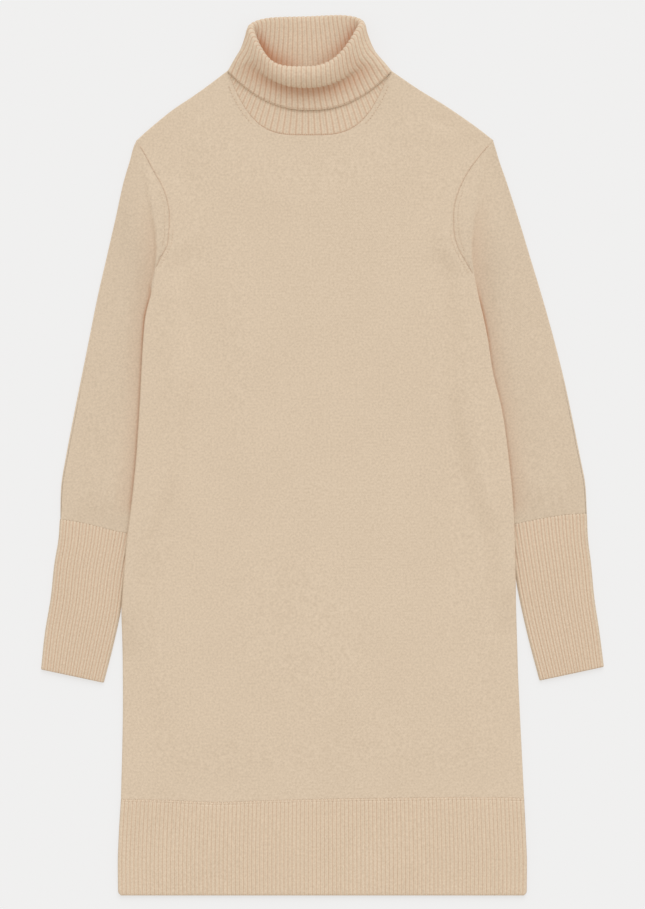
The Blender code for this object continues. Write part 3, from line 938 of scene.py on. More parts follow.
    def front(self, jersey: Cloth) -> tuple[bpy.types.Object, Array]:
        """Build the front panel.

        Args:
            jersey: The plain knit.

        Returns:
            The panel and the points of the face that shows.
        """
        plan = self.plan(COLLAR_RINGS[0].front)
        side_depth, end_depth = self.borders()
        lies = self.height(plan) + JERSEY
        low = lies + LAYER_GAP + self.loft(plan)
        side, end = self.held
        held = smooth_step(side_depth / side) * smooth_step(end_depth / end)
        low = np.maximum(low + creased(plan, self.creases) * held, lies + LAYER_GAP / 2)
        end = np.maximum(rounded(end_depth, self.end), self.end_left)
        outer = self.face(plan, low + JERSEY * rounded(side_depth, self.edge) * end)
        inner = self.face(plan, low).coarser(3, 3)
        return Wall("front_panel", "body_front", outer, inner).build(jersey), outer.points

    def back(self, jersey: Cloth) -> bpy.types.Object:
        """Build the back panel, whose creases are in its underside.

        Args:
            jersey: The plain knit.

        Returns:
            The panel.
        """
        plan = self.plan(COLLAR_RINGS[0].back)
        side_depth, end_depth = self.borders()
        top = self.height(plan) + JERSEY
        thick = JERSEY * rounded(side_depth, self.edge) * rounded(end_depth, self.end)
        hollow = creased(plan, self.back_creases) * smooth_step(side_depth / self.hollow_held)
        under = self.face(plan, top - thick + np.clip(hollow, 0, self.hollow))
        outer = self.face(plan, top).coarser(3, 3)
        return Wall("back_panel", "body_back", outer, under).build(jersey)


# ---- Hem ----


@dataclass
class HemRib:
    """The two bands of rib knit at the hem."""

    ribs: int = 101  # across one band
    steps: int = 8  # columns to one rib
    # Width and height of a band, which turn shares of it into depths
    size: tuple[float, float] = (465.0, HEM_HEIGHT)
    corner: float = 3.2  # how far its bottom corners are rounded off inwards
    corner_height: float = 5.0  # the height that this takes
    corner_fade: float = 84.0  # how quickly that is lost across the band
    edge: float = 1.4  # radius of the top and bottom edges
    side_edge: float = 2.0  # radius at the sides
    back_relief: float = 0.6  # share of the ribs' height that shows on the back band
    bow_inset: float = 14.0  # how far inside its edges a band's bow is whole
    raised: float = 0.6  # how high the front band's bow lies on the whole
    groove: float = 0.55  # how dark the painted shade in its troughs is
    # Slow waviness of the bands' height
    bow: tuple[Crease, ...] = (
        Crease([(-20, 100), (-6, 50), (-10, 4)], -0.5, 22),
        Crease([(222, 100), (218, 55), (222, 6)], -0.5, 12),
        Crease([(-222, 96), (-219, 50), (-224, 8)], -0.5, 9),
        Crease([(90, 105), (96, 60), (92, 2)], 0.35, 26),
        Crease([(-120, 105), (-126, 60), (-118, 2)], 0.35, 30),
        Crease([(160, 100), (154, 50), (160, 4)], -0.3, 16),
    )

    def plan(self, across: Array, up: Array) -> Array:
        """Draw a band in plan.

        Args:
            across: Place of each column, 0 to 1.
            up: Place of each row.

        Returns:
            Rows of places, from the bottom edge up.
        """
        bottom = along([HEM_SIDE[Side.LEFT][0], (0, 0), HEM_SIDE[Side.RIGHT][0]], across)
        top = along(HEM_LINE, across) - (0, SEAM / 2)
        left, right = along(HEM_SIDE[Side.LEFT], up), along(HEM_SIDE[Side.RIGHT], up)
        left[-1], right[-1] = top[0], top[-1]
        plan = patch(bottom, top, left, right, across, up)
        low = self.corner * np.clip(1 - plan[..., 1] / self.corner_height, 0, 1) ** 2
        fade = self.corner_fade
        plan[..., 0] += low * (np.exp(-across * fade) - np.exp((across - 1) * fade))
        return plan

    def build(self, front: bool, rib: Cloth) -> bpy.types.Object:
        """Build one band.

        Args:
            front: Whether it is the front band.
            rib: The rib knit.

        Returns:
            The band.
        """
        up = np.array([0, 0.004, 0.01, 0.02, 0.034, 0.05, *np.linspace(0.08, 0.97, 14),
                       0.985, 0.995, 1])
        across = np.linspace(0, 1, self.ribs * self.steps + 1)
        plan = self.plan(across, up)
        count = across * self.ribs
        width, height = self.size
        ends = smooth_step(up / 0.035)[:, None] * smooth_step((1 - up) / 0.02)[:, None]
        high = RIB_HEIGHT * (0.25 + 0.75 * ends) * ridges(count)
        depth = inset(up, height)[:, None]
        thick = rounded(depth, self.edge)
        thick = thick * rounded(inset(across, width)[None, :], self.side_edge)
        # Painted shade in the troughs between ribs
        trough = self.groove * (1 - ridges(count)) ** 2
        stitches = np.stack(np.broadcast_arrays(count * RIB_WIDTH, plan[..., 1]), axis=-1)
        if front:
            bow = creased(plan, self.bow) * smooth_step(depth / self.bow_inset)
            low = JERSEY + LAYER_GAP + np.maximum(bow + self.raised, 0.0)
            outer = Face(raised(plan, low + thick * (RIB_WALL + high)), across, stitches, trough)
            inner = Face(raised(plan, low), across, stitches).coarser(3, 8)
            return Wall("hem_front", "hem_rib_front", outer, inner).build(rib)
        outer = Face(raised(plan, RIB_WALL), across, stitches).coarser(3, 8)
        under = (RIB_HEIGHT - high) * self.back_relief + RIB_WALL * (1 - thick)
        inner = Face(raised(plan, under), across, stitches, trough)
        return Wall("hem_back", "hem_rib_back", outer, inner).build(rib)


# ---- Sleeves and cuffs ----


# Rise and width of each of a sleeve's main creases, and their paths on each side
SLEEVE_CREASES = ((0.7, 11), (-0.7, 9), (0.6, 12), (-0.8, 10), (-0.5, 8))
SLEEVE_PATHS: dict[Side, Sequence[Line]] = {
    Side.LEFT: (
        [(-206, 830), (-214, 760), (-226, 690)],
        [(-196, 790), (-205, 720), (-216, 640)],
        [(-232, 700), (-246, 610), (-262, 520)],
        [(-214, 600), (-232, 540), (-246, 470)],
        [(-262, 560), (-276, 510), (-284, 455)],
    ),
    Side.RIGHT: (
        [(186, 838), (196, 770), (210, 700)],
        [(176, 800), (186, 730), (200, 655)],
        [(222, 700), (240, 610), (258, 520)],
        [(208, 610), (228, 545), (243, 475)],
        [(252, 560), (270, 505), (281, 462)],
    ),
}
# x, length and rise of each pucker above a cuff
PUCKERS: dict[Side, Sequence[tuple[float, float, float]]] = {
    Side.LEFT: ((-290, 26, 0.5), (-279, 40, 0.7), (-266, 30, 0.55), (-255, 46, 0.75),
                (-243, 34, 0.6), (-233, 24, 0.4)),
    Side.RIGHT: ((294, 30, 0.5), (282, 44, 0.75), (270, 28, 0.5), (259, 50, 0.8),
                 (247, 36, 0.6), (236, 26, 0.5)),
}


@dataclass
class FlatTube:
    """A sleeve or a cuff: a tube of cloth pressed flat."""

    name: str
    node: str  # the CAD solid that it replaces
    plan: Array  # rows of places in plan, from the outer fold to the inner fold
    across: Array  # place of each column, 0 to 1
    thickness: float  # of the cloth
    loft: Array  # height added above, for each place of the plan
    round_ends: Array  # share of the thickness left in each row
    painted_occlusion: Array | None = None  # painted shade for each place of the plan above, beside the body
    ribs: int = 0  # ribs across one face, or 0
    under: float = 0.5  # depth of the troughs in the side that rests on the surface
    rib_width: float = 3.4  # width of a rib on the stitch map
    steps: int = 8  # columns to one rib
    fold: int = 8  # steps round a fold
    fold_width: float = 4.0  # width of a fold on the stitch map

    def ring(self, row: int, columns: Array, offset: float, rise: Array, dip: Array) -> Array:
        """Draw one ring: above, round the inner fold, below, round the outer fold.

        Args:
            row: Which row of the plan.
            columns: Shares of the ring's points above and below.
            offset: From the middle of the wall to this face.
            rise: Height added at each point above.
            dip: Height added at each point below.

        Returns:
            The ring's points.
        """
        line = self.plan[row]
        radius = (self.thickness + LAYER_GAP) / 2
        middle = self.thickness / 2 + radius
        inwards = unit(np.array([line[1] - line[0], line[-2] - line[-1]]))
        places = np.stack([np.interp(columns, self.across, axis) for axis in line.T], axis=-1)
        places[[0, -1]] = line[[0, -1]] + radius * inwards
        above = np.column_stack([places, middle + radius + offset + rise])
        below = np.column_stack([places, middle - radius - offset + dip])[::-1]
        angles = np.linspace(math.pi / 2, -math.pi / 2, self.fold + 1)[1:-1]
        reach = radius - (radius + offset) * np.cos(angles)
        height = middle + (radius + offset) * np.sin(angles)
        outer, inner = (
            np.column_stack([edge + reach[:, None] * way, height])
            for edge, way in zip(line[[0, -1]], inwards)
        )
        return np.concatenate([above, inner, below, outer[::-1]])

    def face(self, outside: bool) -> Face:
        """Draw one face of the tube's wall.

        Args:
            outside: Whether it is the outside, which has the ribs.

        Returns:
            The face.
        """
        columns = self.across if outside else self.across[::3]
        if self.ribs:
            columns = np.linspace(0, 1, self.ribs * (self.steps if outside else 1) + 1)
        crest = groove = np.zeros(len(columns))
        if self.ribs and outside:
            crest = ridges(columns * self.ribs)
            groove = 1 - crest
        rings = []
        for row, share in enumerate(self.round_ends):
            rise = np.interp(columns, self.across, self.loft[row]) + RIB_HEIGHT * crest * share
            offset = (1 if outside else -1) * self.thickness / 2 * share
            rings.append(self.ring(row, columns, offset, rise, self.under * groove * share))
        turn = np.linspace(0, 1, self.fold + 1)[1:-1]
        at = np.concatenate([columns, 1 + turn, 3 - columns[::-1], 3 + turn])
        # Painted shade in the troughs between ribs, above and below
        painted_shade = np.concatenate([groove**2, 0 * turn, groove[::-1] ** 2, 0 * turn])
        trough = np.tile(painted_shade, (len(rings), 1))
        # Painted shade beside the body on the face above
        if outside and self.painted_occlusion is not None:
            over = [np.interp(columns, self.across, row) for row in self.painted_occlusion]
            trough[:, : len(columns)] += np.array(over)
        width = self.ribs * self.rib_width
        if not self.ribs:
            width = np.linalg.norm(np.diff(self.plan, axis=1), axis=2).sum(axis=1).max()
        edges = np.cumsum([0, width, self.fold_width, width, self.fold_width])
        u = np.interp(np.append(at, 4.0), range(5), edges)
        v = run(self.plan[:, len(self.across) // 2])
        stitches = np.stack(np.broadcast_arrays(u[None, :], -v[:, None]), axis=-1)
        return Face(np.array(rings), at, stitches, trough)

    def build(self, cloth: Cloth) -> bpy.types.Object:
        """Build the tube in a finish."""
        return Wall(self.name, self.node, self.face(True), self.face(False), 4.0).build(cloth)


@dataclass
class Sleeve:
    """One sleeve and its cuff."""

    side: Side  # which sleeve
    length: float = 470.0  # of the sleeve, which turns shares of it into depths
    cuff_length: float = 175.0  # the same for the cuff
    seam_left: float = 0.7  # share of the thickness left where a seam joins sleeve and cuff
    puff: float = 2.4  # loft of the upper layer
    puff_reach: float = 25.0  # from the body's edge to where it has its whole loft
    armhole_reach: float = 0.18  # share of the length that the curve of the armhole shapes
    underarm_fan: float = 1.25  # how closely the rows fan out from the underarm: 1 is evenly
    crease_reach: float = 12.0  # from the body's edge to where the creases are whole
    edge: float = 1.2  # radius of its ends
    cuff_edge: float = 1.4  # radius of the cuff's ends
    level: tuple[float, float] = (2.5, 5.5)  # before the tuck, and over what it comes down
    tuck_start: float = 672.0  # h above which it rises level with the body beside the armhole
    tuck_ramp: float = 26.0  # over what height it comes up to that
    pucker_foot: float = 434.0  # h at which the puckers above the cuff begin
    pucker_tail: float = 8.0  # how far they run on below that
    pucker_width: float = 3.6  # their width
    pucker_lean: float = 0.22  # how far they lean inwards, as a share of their length
    cuff_ribs: int = 22  # ribs across one face of the cuff
    cuff_loft: float = 0.6  # loft of the cuff
    line: float = 2.4  # width of the painted shade line beside the body
    # h where that line has run out, and the height over which it does
    line_top: tuple[float, float] = (712.0, 30.0)
    # h where it is darkest, and the height of that place
    underarm: tuple[float, float] = (664.0, 30.0)
    broad: float = 15.0  # width of the soft painted shade outside the line
    broad_share: float = 0.32  # how dark that shade is beside the line
    # h where it has run out, and the height over which it does
    broad_top: tuple[float, float] = (820.0, 90.0)
    # h where both end below, and the height over which they do
    shade_foot: tuple[float, float] = (432.0, 20.0)

    @property
    def word(self) -> str:
        """Its side as a word in a name."""
        return self.side.name.lower()

    def creases(self) -> list[Crease]:
        """Its main creases: long soft ones down it, and puckers above the cuff."""
        paths = SLEEVE_PATHS[self.side]
        made = [Crease(path, *sizes) for path, sizes in zip(paths, SLEEVE_CREASES)]
        for x, reach, rise in PUCKERS[self.side]:
            lean, foot = -self.side.value * reach * self.pucker_lean, self.pucker_foot
            tail, top = foot - self.pucker_tail, foot + reach
            path = [(x, tail), (x + lean / 2, foot + reach / 2), (x + lean, top)]
            made.append(Crease(path, rise, self.pucker_width, 1.0))
        return made

    def plan(self, across: Array, up: Array) -> Array:
        """Draw it in plan.

        Args:
            across: Place of each column, 0 to 1.
            up: Place of each row, from the armhole down.

        Returns:
            Rows of places, from the armhole down to the cuff.
        """
        sign = self.side.value
        armhole = along(ARMHOLE[self.side], 1 - across) + (sign * SEAM / 2, 0)
        cuff = along(CUFF_LINE[self.side], across) + (0, SEAM / 2)
        outer = along(OUTER_FOLD[self.side], up)
        inner = along(INNER_FOLD[self.side], up**self.underarm_fan)
        outer[1:, 0] -= sign * JERSEY / 2
        cuff[0, 0] = outer[-1, 0]
        armhole[-1] = inner[0]
        outer[0], outer[-1], inner[-1] = armhole[0], cuff[0], cuff[-1]
        u, v = across[None, :, None], up[:, None, None]
        straight = (1 - u) * outer[:, None] + u * inner[:, None]
        at_seam = np.clip(1 - v / self.armhole_reach, 0, 1) ** 2
        return straight + at_seam * (armhole - straight[0]) + v**4 * (cuff - straight[-1])

    def painted_occlusion(self, gap: Array, h: Array) -> Array:
        """Find how much painted shade it takes beside the body's edge and the tuck.

        Args:
            gap: How far outside the body's edge or the tuck each place is.
            h: Height of each place up the dress.

        Returns:
            Painted shade, 0 in the open to about 1.5 at the underarm.
        """
        out = np.maximum(gap, 0.0)
        line = bell(out, self.line) * fade_up(h, self.line_top)
        line *= 0.7 + 0.9 * bell(h - self.underarm[0], self.underarm[1])
        broad = bell(out, self.broad) * fade_up(h, self.broad_top)
        foot, over = self.shade_foot
        shade = (line + self.broad_share * broad) * smooth_step(gap + 1.5)
        return shade * smooth_step((h - foot) / over)

    def build(self, jersey: Cloth) -> bpy.types.Object:
        """Build the sleeve.

        Args:
            jersey: The plain knit.

        Returns:
            The sleeve.
        """
        up = np.array([0, 0.0008, 0.002, 0.004, 0.008, *np.linspace(0.014, 0.986, 120),
                       0.992, 0.996, 0.998, 1])
        across = np.linspace(0, 1, 85)
        plan = self.plan(across, up)
        x, h = plan[..., 0], plan[..., 1]
        outside = self.side.value * (x - edge_at(self.side, h))
        past = self.side.value * (x - x_at(TUCK[self.side], h))
        over = np.sin(math.pi * across)
        ends = smooth_step(up / 0.2) * smooth_step((1 - up) / 0.1)
        loft = self.puff * ends[:, None] * over * smooth_step(outside / self.puff_reach)
        folds = creased(plan, self.creases()) * smooth_step(outside / self.crease_reach) * over**0.6
        loft = np.maximum(loft + folds * smooth_step((1 - up) / 0.012)[:, None], 0.0)
        level = Body().most(self.side, h) * smooth_step((h - self.tuck_start) / self.tuck_ramp)
        before, ramp = self.level
        loft = np.maximum(loft, level * (1 - smooth_step((past + before) / ramp)))
        # Painted shade beside the body's edge and the tuck
        painted_occlusion = self.painted_occlusion(np.minimum(outside, past), h)
        held = np.where(up > 0.5, self.seam_left, 0.0)
        ends = np.maximum(rounded(inset(up, self.length), self.edge), held)
        return FlatTube(
            f"{self.word}_sleeve", f"sleeve_{self.word}", plan, across, JERSEY, loft, ends,
            painted_occlusion,
        ).build(jersey)

    def build_cuff(self, rib: Cloth) -> bpy.types.Object:
        """Build the cuff.

        Args:
            rib: The rib knit.

        Returns:
            The cuff.
        """
        up = np.array([0, 0.004, 0.01, 0.02, 0.04, *np.linspace(0.08, 0.93, 20), 0.96, 0.98,
                       0.99, 0.996, 1])
        across = np.linspace(0, 1, 12)
        line = along(CUFF_LINE[self.side], across) - (0, SEAM / 2)
        outer, inner = along(CUFF_OUTER[self.side], up), along(CUFF_INNER[self.side], up)
        outer[:, 0] -= self.side.value * RIB_WALL / 2
        line[0, 0] = outer[0, 0]
        outer[0], inner[0] = line[0], line[-1]
        end = outer[-1] + across[:, None] * (inner[-1] - outer[-1])
        plan = patch(line, end, outer, inner, across, up)
        loft = self.cuff_loft * smooth_step(up / 0.2)[:, None] * np.sin(math.pi * across)
        held = np.where(up < 0.5, self.seam_left, 0.0)
        ends = np.maximum(rounded(inset(up, self.cuff_length), self.cuff_edge), held)
        return FlatTube(
            f"{self.word}_cuff", f"cuff_{self.word}", plan, across, RIB_WALL, loft, ends,
            ribs=self.cuff_ribs,
        ).build(rib)


# ---- Rows of stitches ----


# Reach, height and painted shade of each ring of a loop, from its foot up
LOOP_RINGS = ((0.0, -0.5, 1.0), (1.0, -0.3, 1.0), (0.8, 0.6, 0.25), (0.0, 1.0, 0.0))


@dataclass(frozen=True)
class Loop:
    """The form of the loops of yarn in one row."""

    along: float  # length along the row
    across: float  # length across it
    high: float  # how far it stands out
    shade: float = 1.6  # how dark the painted shade at its foot is
    groove: float = 0.0  # half the width of the strip painted with shade that it lies in, or 0
    sides: int = 8  # corners of its outline


@dataclass
class StitchRow:
    """A row of loops that stand out of the cloth, along a seam or an edge."""

    name: str
    line: Array  # middle of each loop (x, h, z), on the cloth that carries it
    loop: Loop  # their form

    @classmethod
    def spaced(cls, name: str, path: Array, pitch: float, loop: Loop) -> "StitchRow":
        """A row whose loops stand a pitch apart on a path."""
        return cls(name, along(path, np.linspace(0, 1, int(run(path)[-1] / pitch) + 1)), loop)

    def axes(self) -> tuple[Array, Array, Array]:
        """Along the row, across it and out of the cloth, at each loop."""
        way = unit(np.gradient(self.line, axis=0))
        over = unit(np.cross((0.0, 0.0, 1.0), way))
        return way, over, np.cross(way, over)

    def loops(self) -> tuple[Array, list[list[int]], Array]:
        """Points, faces and painted shade depths of the loops."""
        way, over, out = self.axes()
        sides, loop = self.loop.sides, self.loop
        turn = np.arange(sides) * 2 * math.pi / sides
        points, trough, faces = [], [], []
        for reach, height, painted_shade in LOOP_RINGS:
            angles = turn if reach else turn[:1]
            points.append(
                self.line[:, None]
                + reach * loop.along / 2 * np.cos(angles)[None, :, None] * way[:, None]
                + reach * loop.across / 2 * np.sin(angles)[None, :, None] * over[:, None]
                + height * loop.high * out[:, None]
            )
            trough.append(np.full((len(self.line), len(angles)), painted_shade * loop.shade))
        grid = np.concatenate(points, axis=1)
        size = grid.shape[1]
        for start in range(0, len(grid) * size, size):
            for i in range(sides):
                low, low_next = start + 1 + i, start + 1 + (i + 1) % sides
                high, high_next = low + sides, low_next + sides
                faces += [[start, low_next, low], [low, low_next, high_next, high],
                          [high, high_next, start + size - 1]]
        return grid.reshape(-1, 3), faces, np.concatenate(trough, axis=1).reshape(-1)

    def channel(self, first: int) -> tuple[Array, list[list[int]]]:
        """Draw the groove: a thin strip painted with shade under the loops.

        Args:
            first: Number of its first vertex.

        Returns:
            Its points and its faces.
        """
        _, over, out = self.axes()
        half, top, foot = self.loop.groove, 0.04, -0.4
        corners = ((-half, top), (half, top), (half, foot), (-half, foot))
        grid = np.stack([self.line + side * over + z * out for side, z in corners], axis=1)
        last = first + 4 * (len(grid) - 1)
        faces = []
        for start in range(first, last, 4):
            for i in range(4):
                j = (i + 1) % 4
                faces.append([start + i, start + j, start + 4 + j, start + 4 + i])
        faces += [[first + 3, first + 2, first + 1, first], [last, last + 1, last + 2, last + 3]]
        return grid.reshape(-1, 3), faces

    def build(self, cloth: Cloth) -> bpy.types.Object:
        """Build it.

        Args:
            cloth: Its finish.

        Returns:
            The row.
        """
        points, faces, trough = self.loops()
        if self.loop.groove:
            more, more_faces = self.channel(len(points))
            points, faces = np.concatenate([points, more]), faces + more_faces
            # The groove's strip is painted with shade a little darker than the loops' feet
            trough = np.append(trough, np.full(len(more), 1.05 * self.loop.shade))
        vertex_of = np.arange(len(points))
        return Piece(self.name, points, faces, trough, vertex_of, points[:, :2]).build(cloth)


@dataclass
class Stitching:
    """The rows of stitches that show: at the neckline, the armholes, the hem and the collar."""

    front: Array  # points of the front panel's face
    jersey: Cloth  # the plain knit
    rib: Cloth  # the rib knit
    pitch: float = 2.4  # from one stitch to the next along the neckline and the collar's edge
    seam_pitch: float = 2.0  # the same along the armholes
    mark_pitch: float = 3.6  # from one fashioning mark to the next
    mark_inset: float = 5.5  # from the neckline to its row of fashioning marks
    hem_drop: float = 0.5  # from the hem line down to its stitches
    neck_lift: float = 0.95  # height of the neckline's stitches above the panel's edge
    neck_marks: tuple[float, float] = (60.0, 938.0)  # from the middle outwards, and h below
    neck_loop: Loop = Loop(1.6, 1.5, 0.6, 1.3, 0.9)
    neck_mark: Loop = Loop(2.4, 1.5, 0.5, 0.7)
    seam_loop: Loop = Loop(1.9, 1.0, 0.3, 0.85, 0.42)
    mark: Loop = Loop(2.2, 1.3, 0.45, 0.8)
    hem_loop: Loop = Loop(4.2, 5.0, 0.65, 0.4, 1.6)
    edge_loop: Loop = Loop(2.0, 1.5, 0.6)

    def on_front(self, places: Array, lift: float) -> Array:
        """Set places in plan on the front, from the nearest of its points.

        Args:
            places: Places in plan.
            lift: How far above the front.

        Returns:
            The places as points.
        """
        flat = self.front.reshape(-1, 3)
        near = [((flat[:, :2] - place) ** 2).sum(axis=1).argmin() for place in places]
        return np.column_stack([places, flat[near, 2] + lift])

    def neckline(self) -> list[bpy.types.Object]:
        """The neckline's stitches and the marks beside its ends."""
        top, collar = self.front[-1], COLLAR_RINGS[0]
        off = top[:, 0] - collar.centre
        seam = top[(np.abs(off) < collar.half - 0.2) & (top[:, 1] < collar.side - 0.5)]
        line = seam + (0.0, 0.2, self.neck_lift)
        rows = [StitchRow.spaced("neckline_stitches", line, self.pitch, self.neck_loop)]
        inner, top_mark = self.neck_marks
        for side in Side:
            beside = side.value * (seam[:, 0] - collar.centre) > inner
            part = seam[beside & (seam[:, 1] < top_mark), :2]
            way = unit(np.gradient(part, axis=0))
            out = np.column_stack([way[:, 1], -way[:, 0]]) * self.mark_inset
            marks, name = self.on_front(part + out, 0.1), f"{side.name.lower()}_neck_marks"
            rows.append(StitchRow.spaced(name, marks, self.mark_pitch, self.neck_mark))
        return [row.build(self.rib) for row in rows]

    def armhole(self, side: Side) -> list[bpy.types.Object]:
        """Lay the fine line of an armhole's seam, and the fashioning marks beside it.

        Args:
            side: Which armhole.

        Returns:
            The rows.
        """
        made = []
        for name, ends, steps, out, lift, pitch, loop in (
            ("armhole_seam", (0.03, 0.95), 90, -0.4, 0.3, self.seam_pitch, self.seam_loop),
            ("sleeve_marks", (0.2, 0.58), 40, 4.6, 0.0, self.mark_pitch, self.mark),
            ("underarm_marks", (0.03, 0.3), 30, -5.0, 0.0, self.mark_pitch, self.mark),
        ):
            path = along(ARMHOLE[side], np.linspace(*ends, steps)) + (side.value * out, 0)
            name = f"{side.name.lower()}_{name}"
            row = StitchRow.spaced(name, self.on_front(path, lift), pitch, loop)
            made.append(row.build(self.jersey))
        return made

    def hem(self, ribs: int, crest: float) -> bpy.types.Object:
        """Lay one long stitch at the top of each rib of the hem.

        Args:
            ribs: Ribs across the hem.
            crest: Height of the ribs there.

        Returns:
            The row.
        """
        line = along(HEM_LINE, (np.arange(ribs) + 0.5) / ribs) - (0, self.hem_drop)
        points = np.column_stack([line, np.full(ribs, crest)])
        return StitchRow("hem_top_stitches", points, self.hem_loop).build(self.rib)

    def collar_edge(self, edge: Array) -> bpy.types.Object:
        """Lay the stitches of the collar's edge, whose points go from left to right."""
        row = StitchRow.spaced("collar_edge_stitches", edge, self.pitch, self.edge_loop)
        return row.build(self.rib)


# ---- Collar ----


@dataclass(frozen=True)
class Ring:
    """One course of the collar, at its place on the folded collar."""

    centre: float  # x of its middle
    half: float  # half its width
    side: float  # its h at the sides
    front: float  # its h at the front's middle
    back: float  # its h at the back's middle
    z_front: float  # height of the cloth at the front's middle
    z_top: float  # height above the side fold
    z_low: float  # height below the side fold
    z_back: float  # height at the back's middle
    left: float  # its shape in plan at the front's left: 2 is a parabola, more is squarer
    right: float  # the same at the right
    rear: float  # the same at the back
    shoulder: float  # how upright it leaves the side fold at the back: 1 is not at all


# From the neckline up and folded down outwards
COLLAR_RINGS = (
    Ring(-15.5, 92.7, 946.0, 873.4, 925.0, 3.4, 3.5, 1.0, 1.0, 3.6, 3.6, 2.7, 1.0),
    Ring(-15.7, 84.5, 953.0, 892.0, 938.0, 4.2, 5.5, 3.4, 3.8, 2.9, 2.9, 2.7, 1.0),
    Ring(-16.3, 77.0, 962.0, 911.0, 960.0, 4.7, 7.5, 4.2, 4.0, 2.7, 2.5, 2.5, 1.0),
    Ring(-17.1, 67.0, 976.0, 927.0, 988.0, 6.5, 11.5, 5.0, 4.4, 3.0, 2.3, 3.2, 0.7),
    Ring(-17.8, 61.0, 989.0, 940.5, 1005.0, 13.5, 17.5, 6.0, 5.0, 3.6, 2.2, 4.5, 0.6),
    Ring(-18.0, 62.0, 997.5, 947.8, 1009.7, 21.5, 22.5, 5.4, 3.1, 4.4, 2.4, 4.5, 0.5),
    Ring(-18.0, 66.0, 996.5, 946.0, 1007.5, 27.4, 25.0, 2.0, 0.95, 3.9, 2.4, 4.5, 0.5),
    Ring(-18.1, 68.9, 986.0, 936.0, 998.0, 27.4, 23.8, 1.0, 0.9, 3.1, 2.3, 4.0, 0.6),
    Ring(-17.6, 73.6, 974.0, 926.8, 982.0, 20.5, 19.5, 0.9, 0.9, 2.5, 2.3, 3.0, 0.8),
    Ring(-16.7, 80.0, 964.0, 928.0, 969.0, 12.0, 14.6, 0.9, 0.9, 2.4, 2.3, 2.4, 1.0),
    Ring(-15.4, 86.6, 955.5, 915.0, 957.0, 8.6, 10.3, 0.9, 0.9, 2.3, 2.3, 2.3, 1.0),
    Ring(-14.1, 93.6, 946.0, 901.5, 945.0, 7.2, 6.8, 0.9, 0.9, 2.3, 2.3, 2.3, 1.0),
)


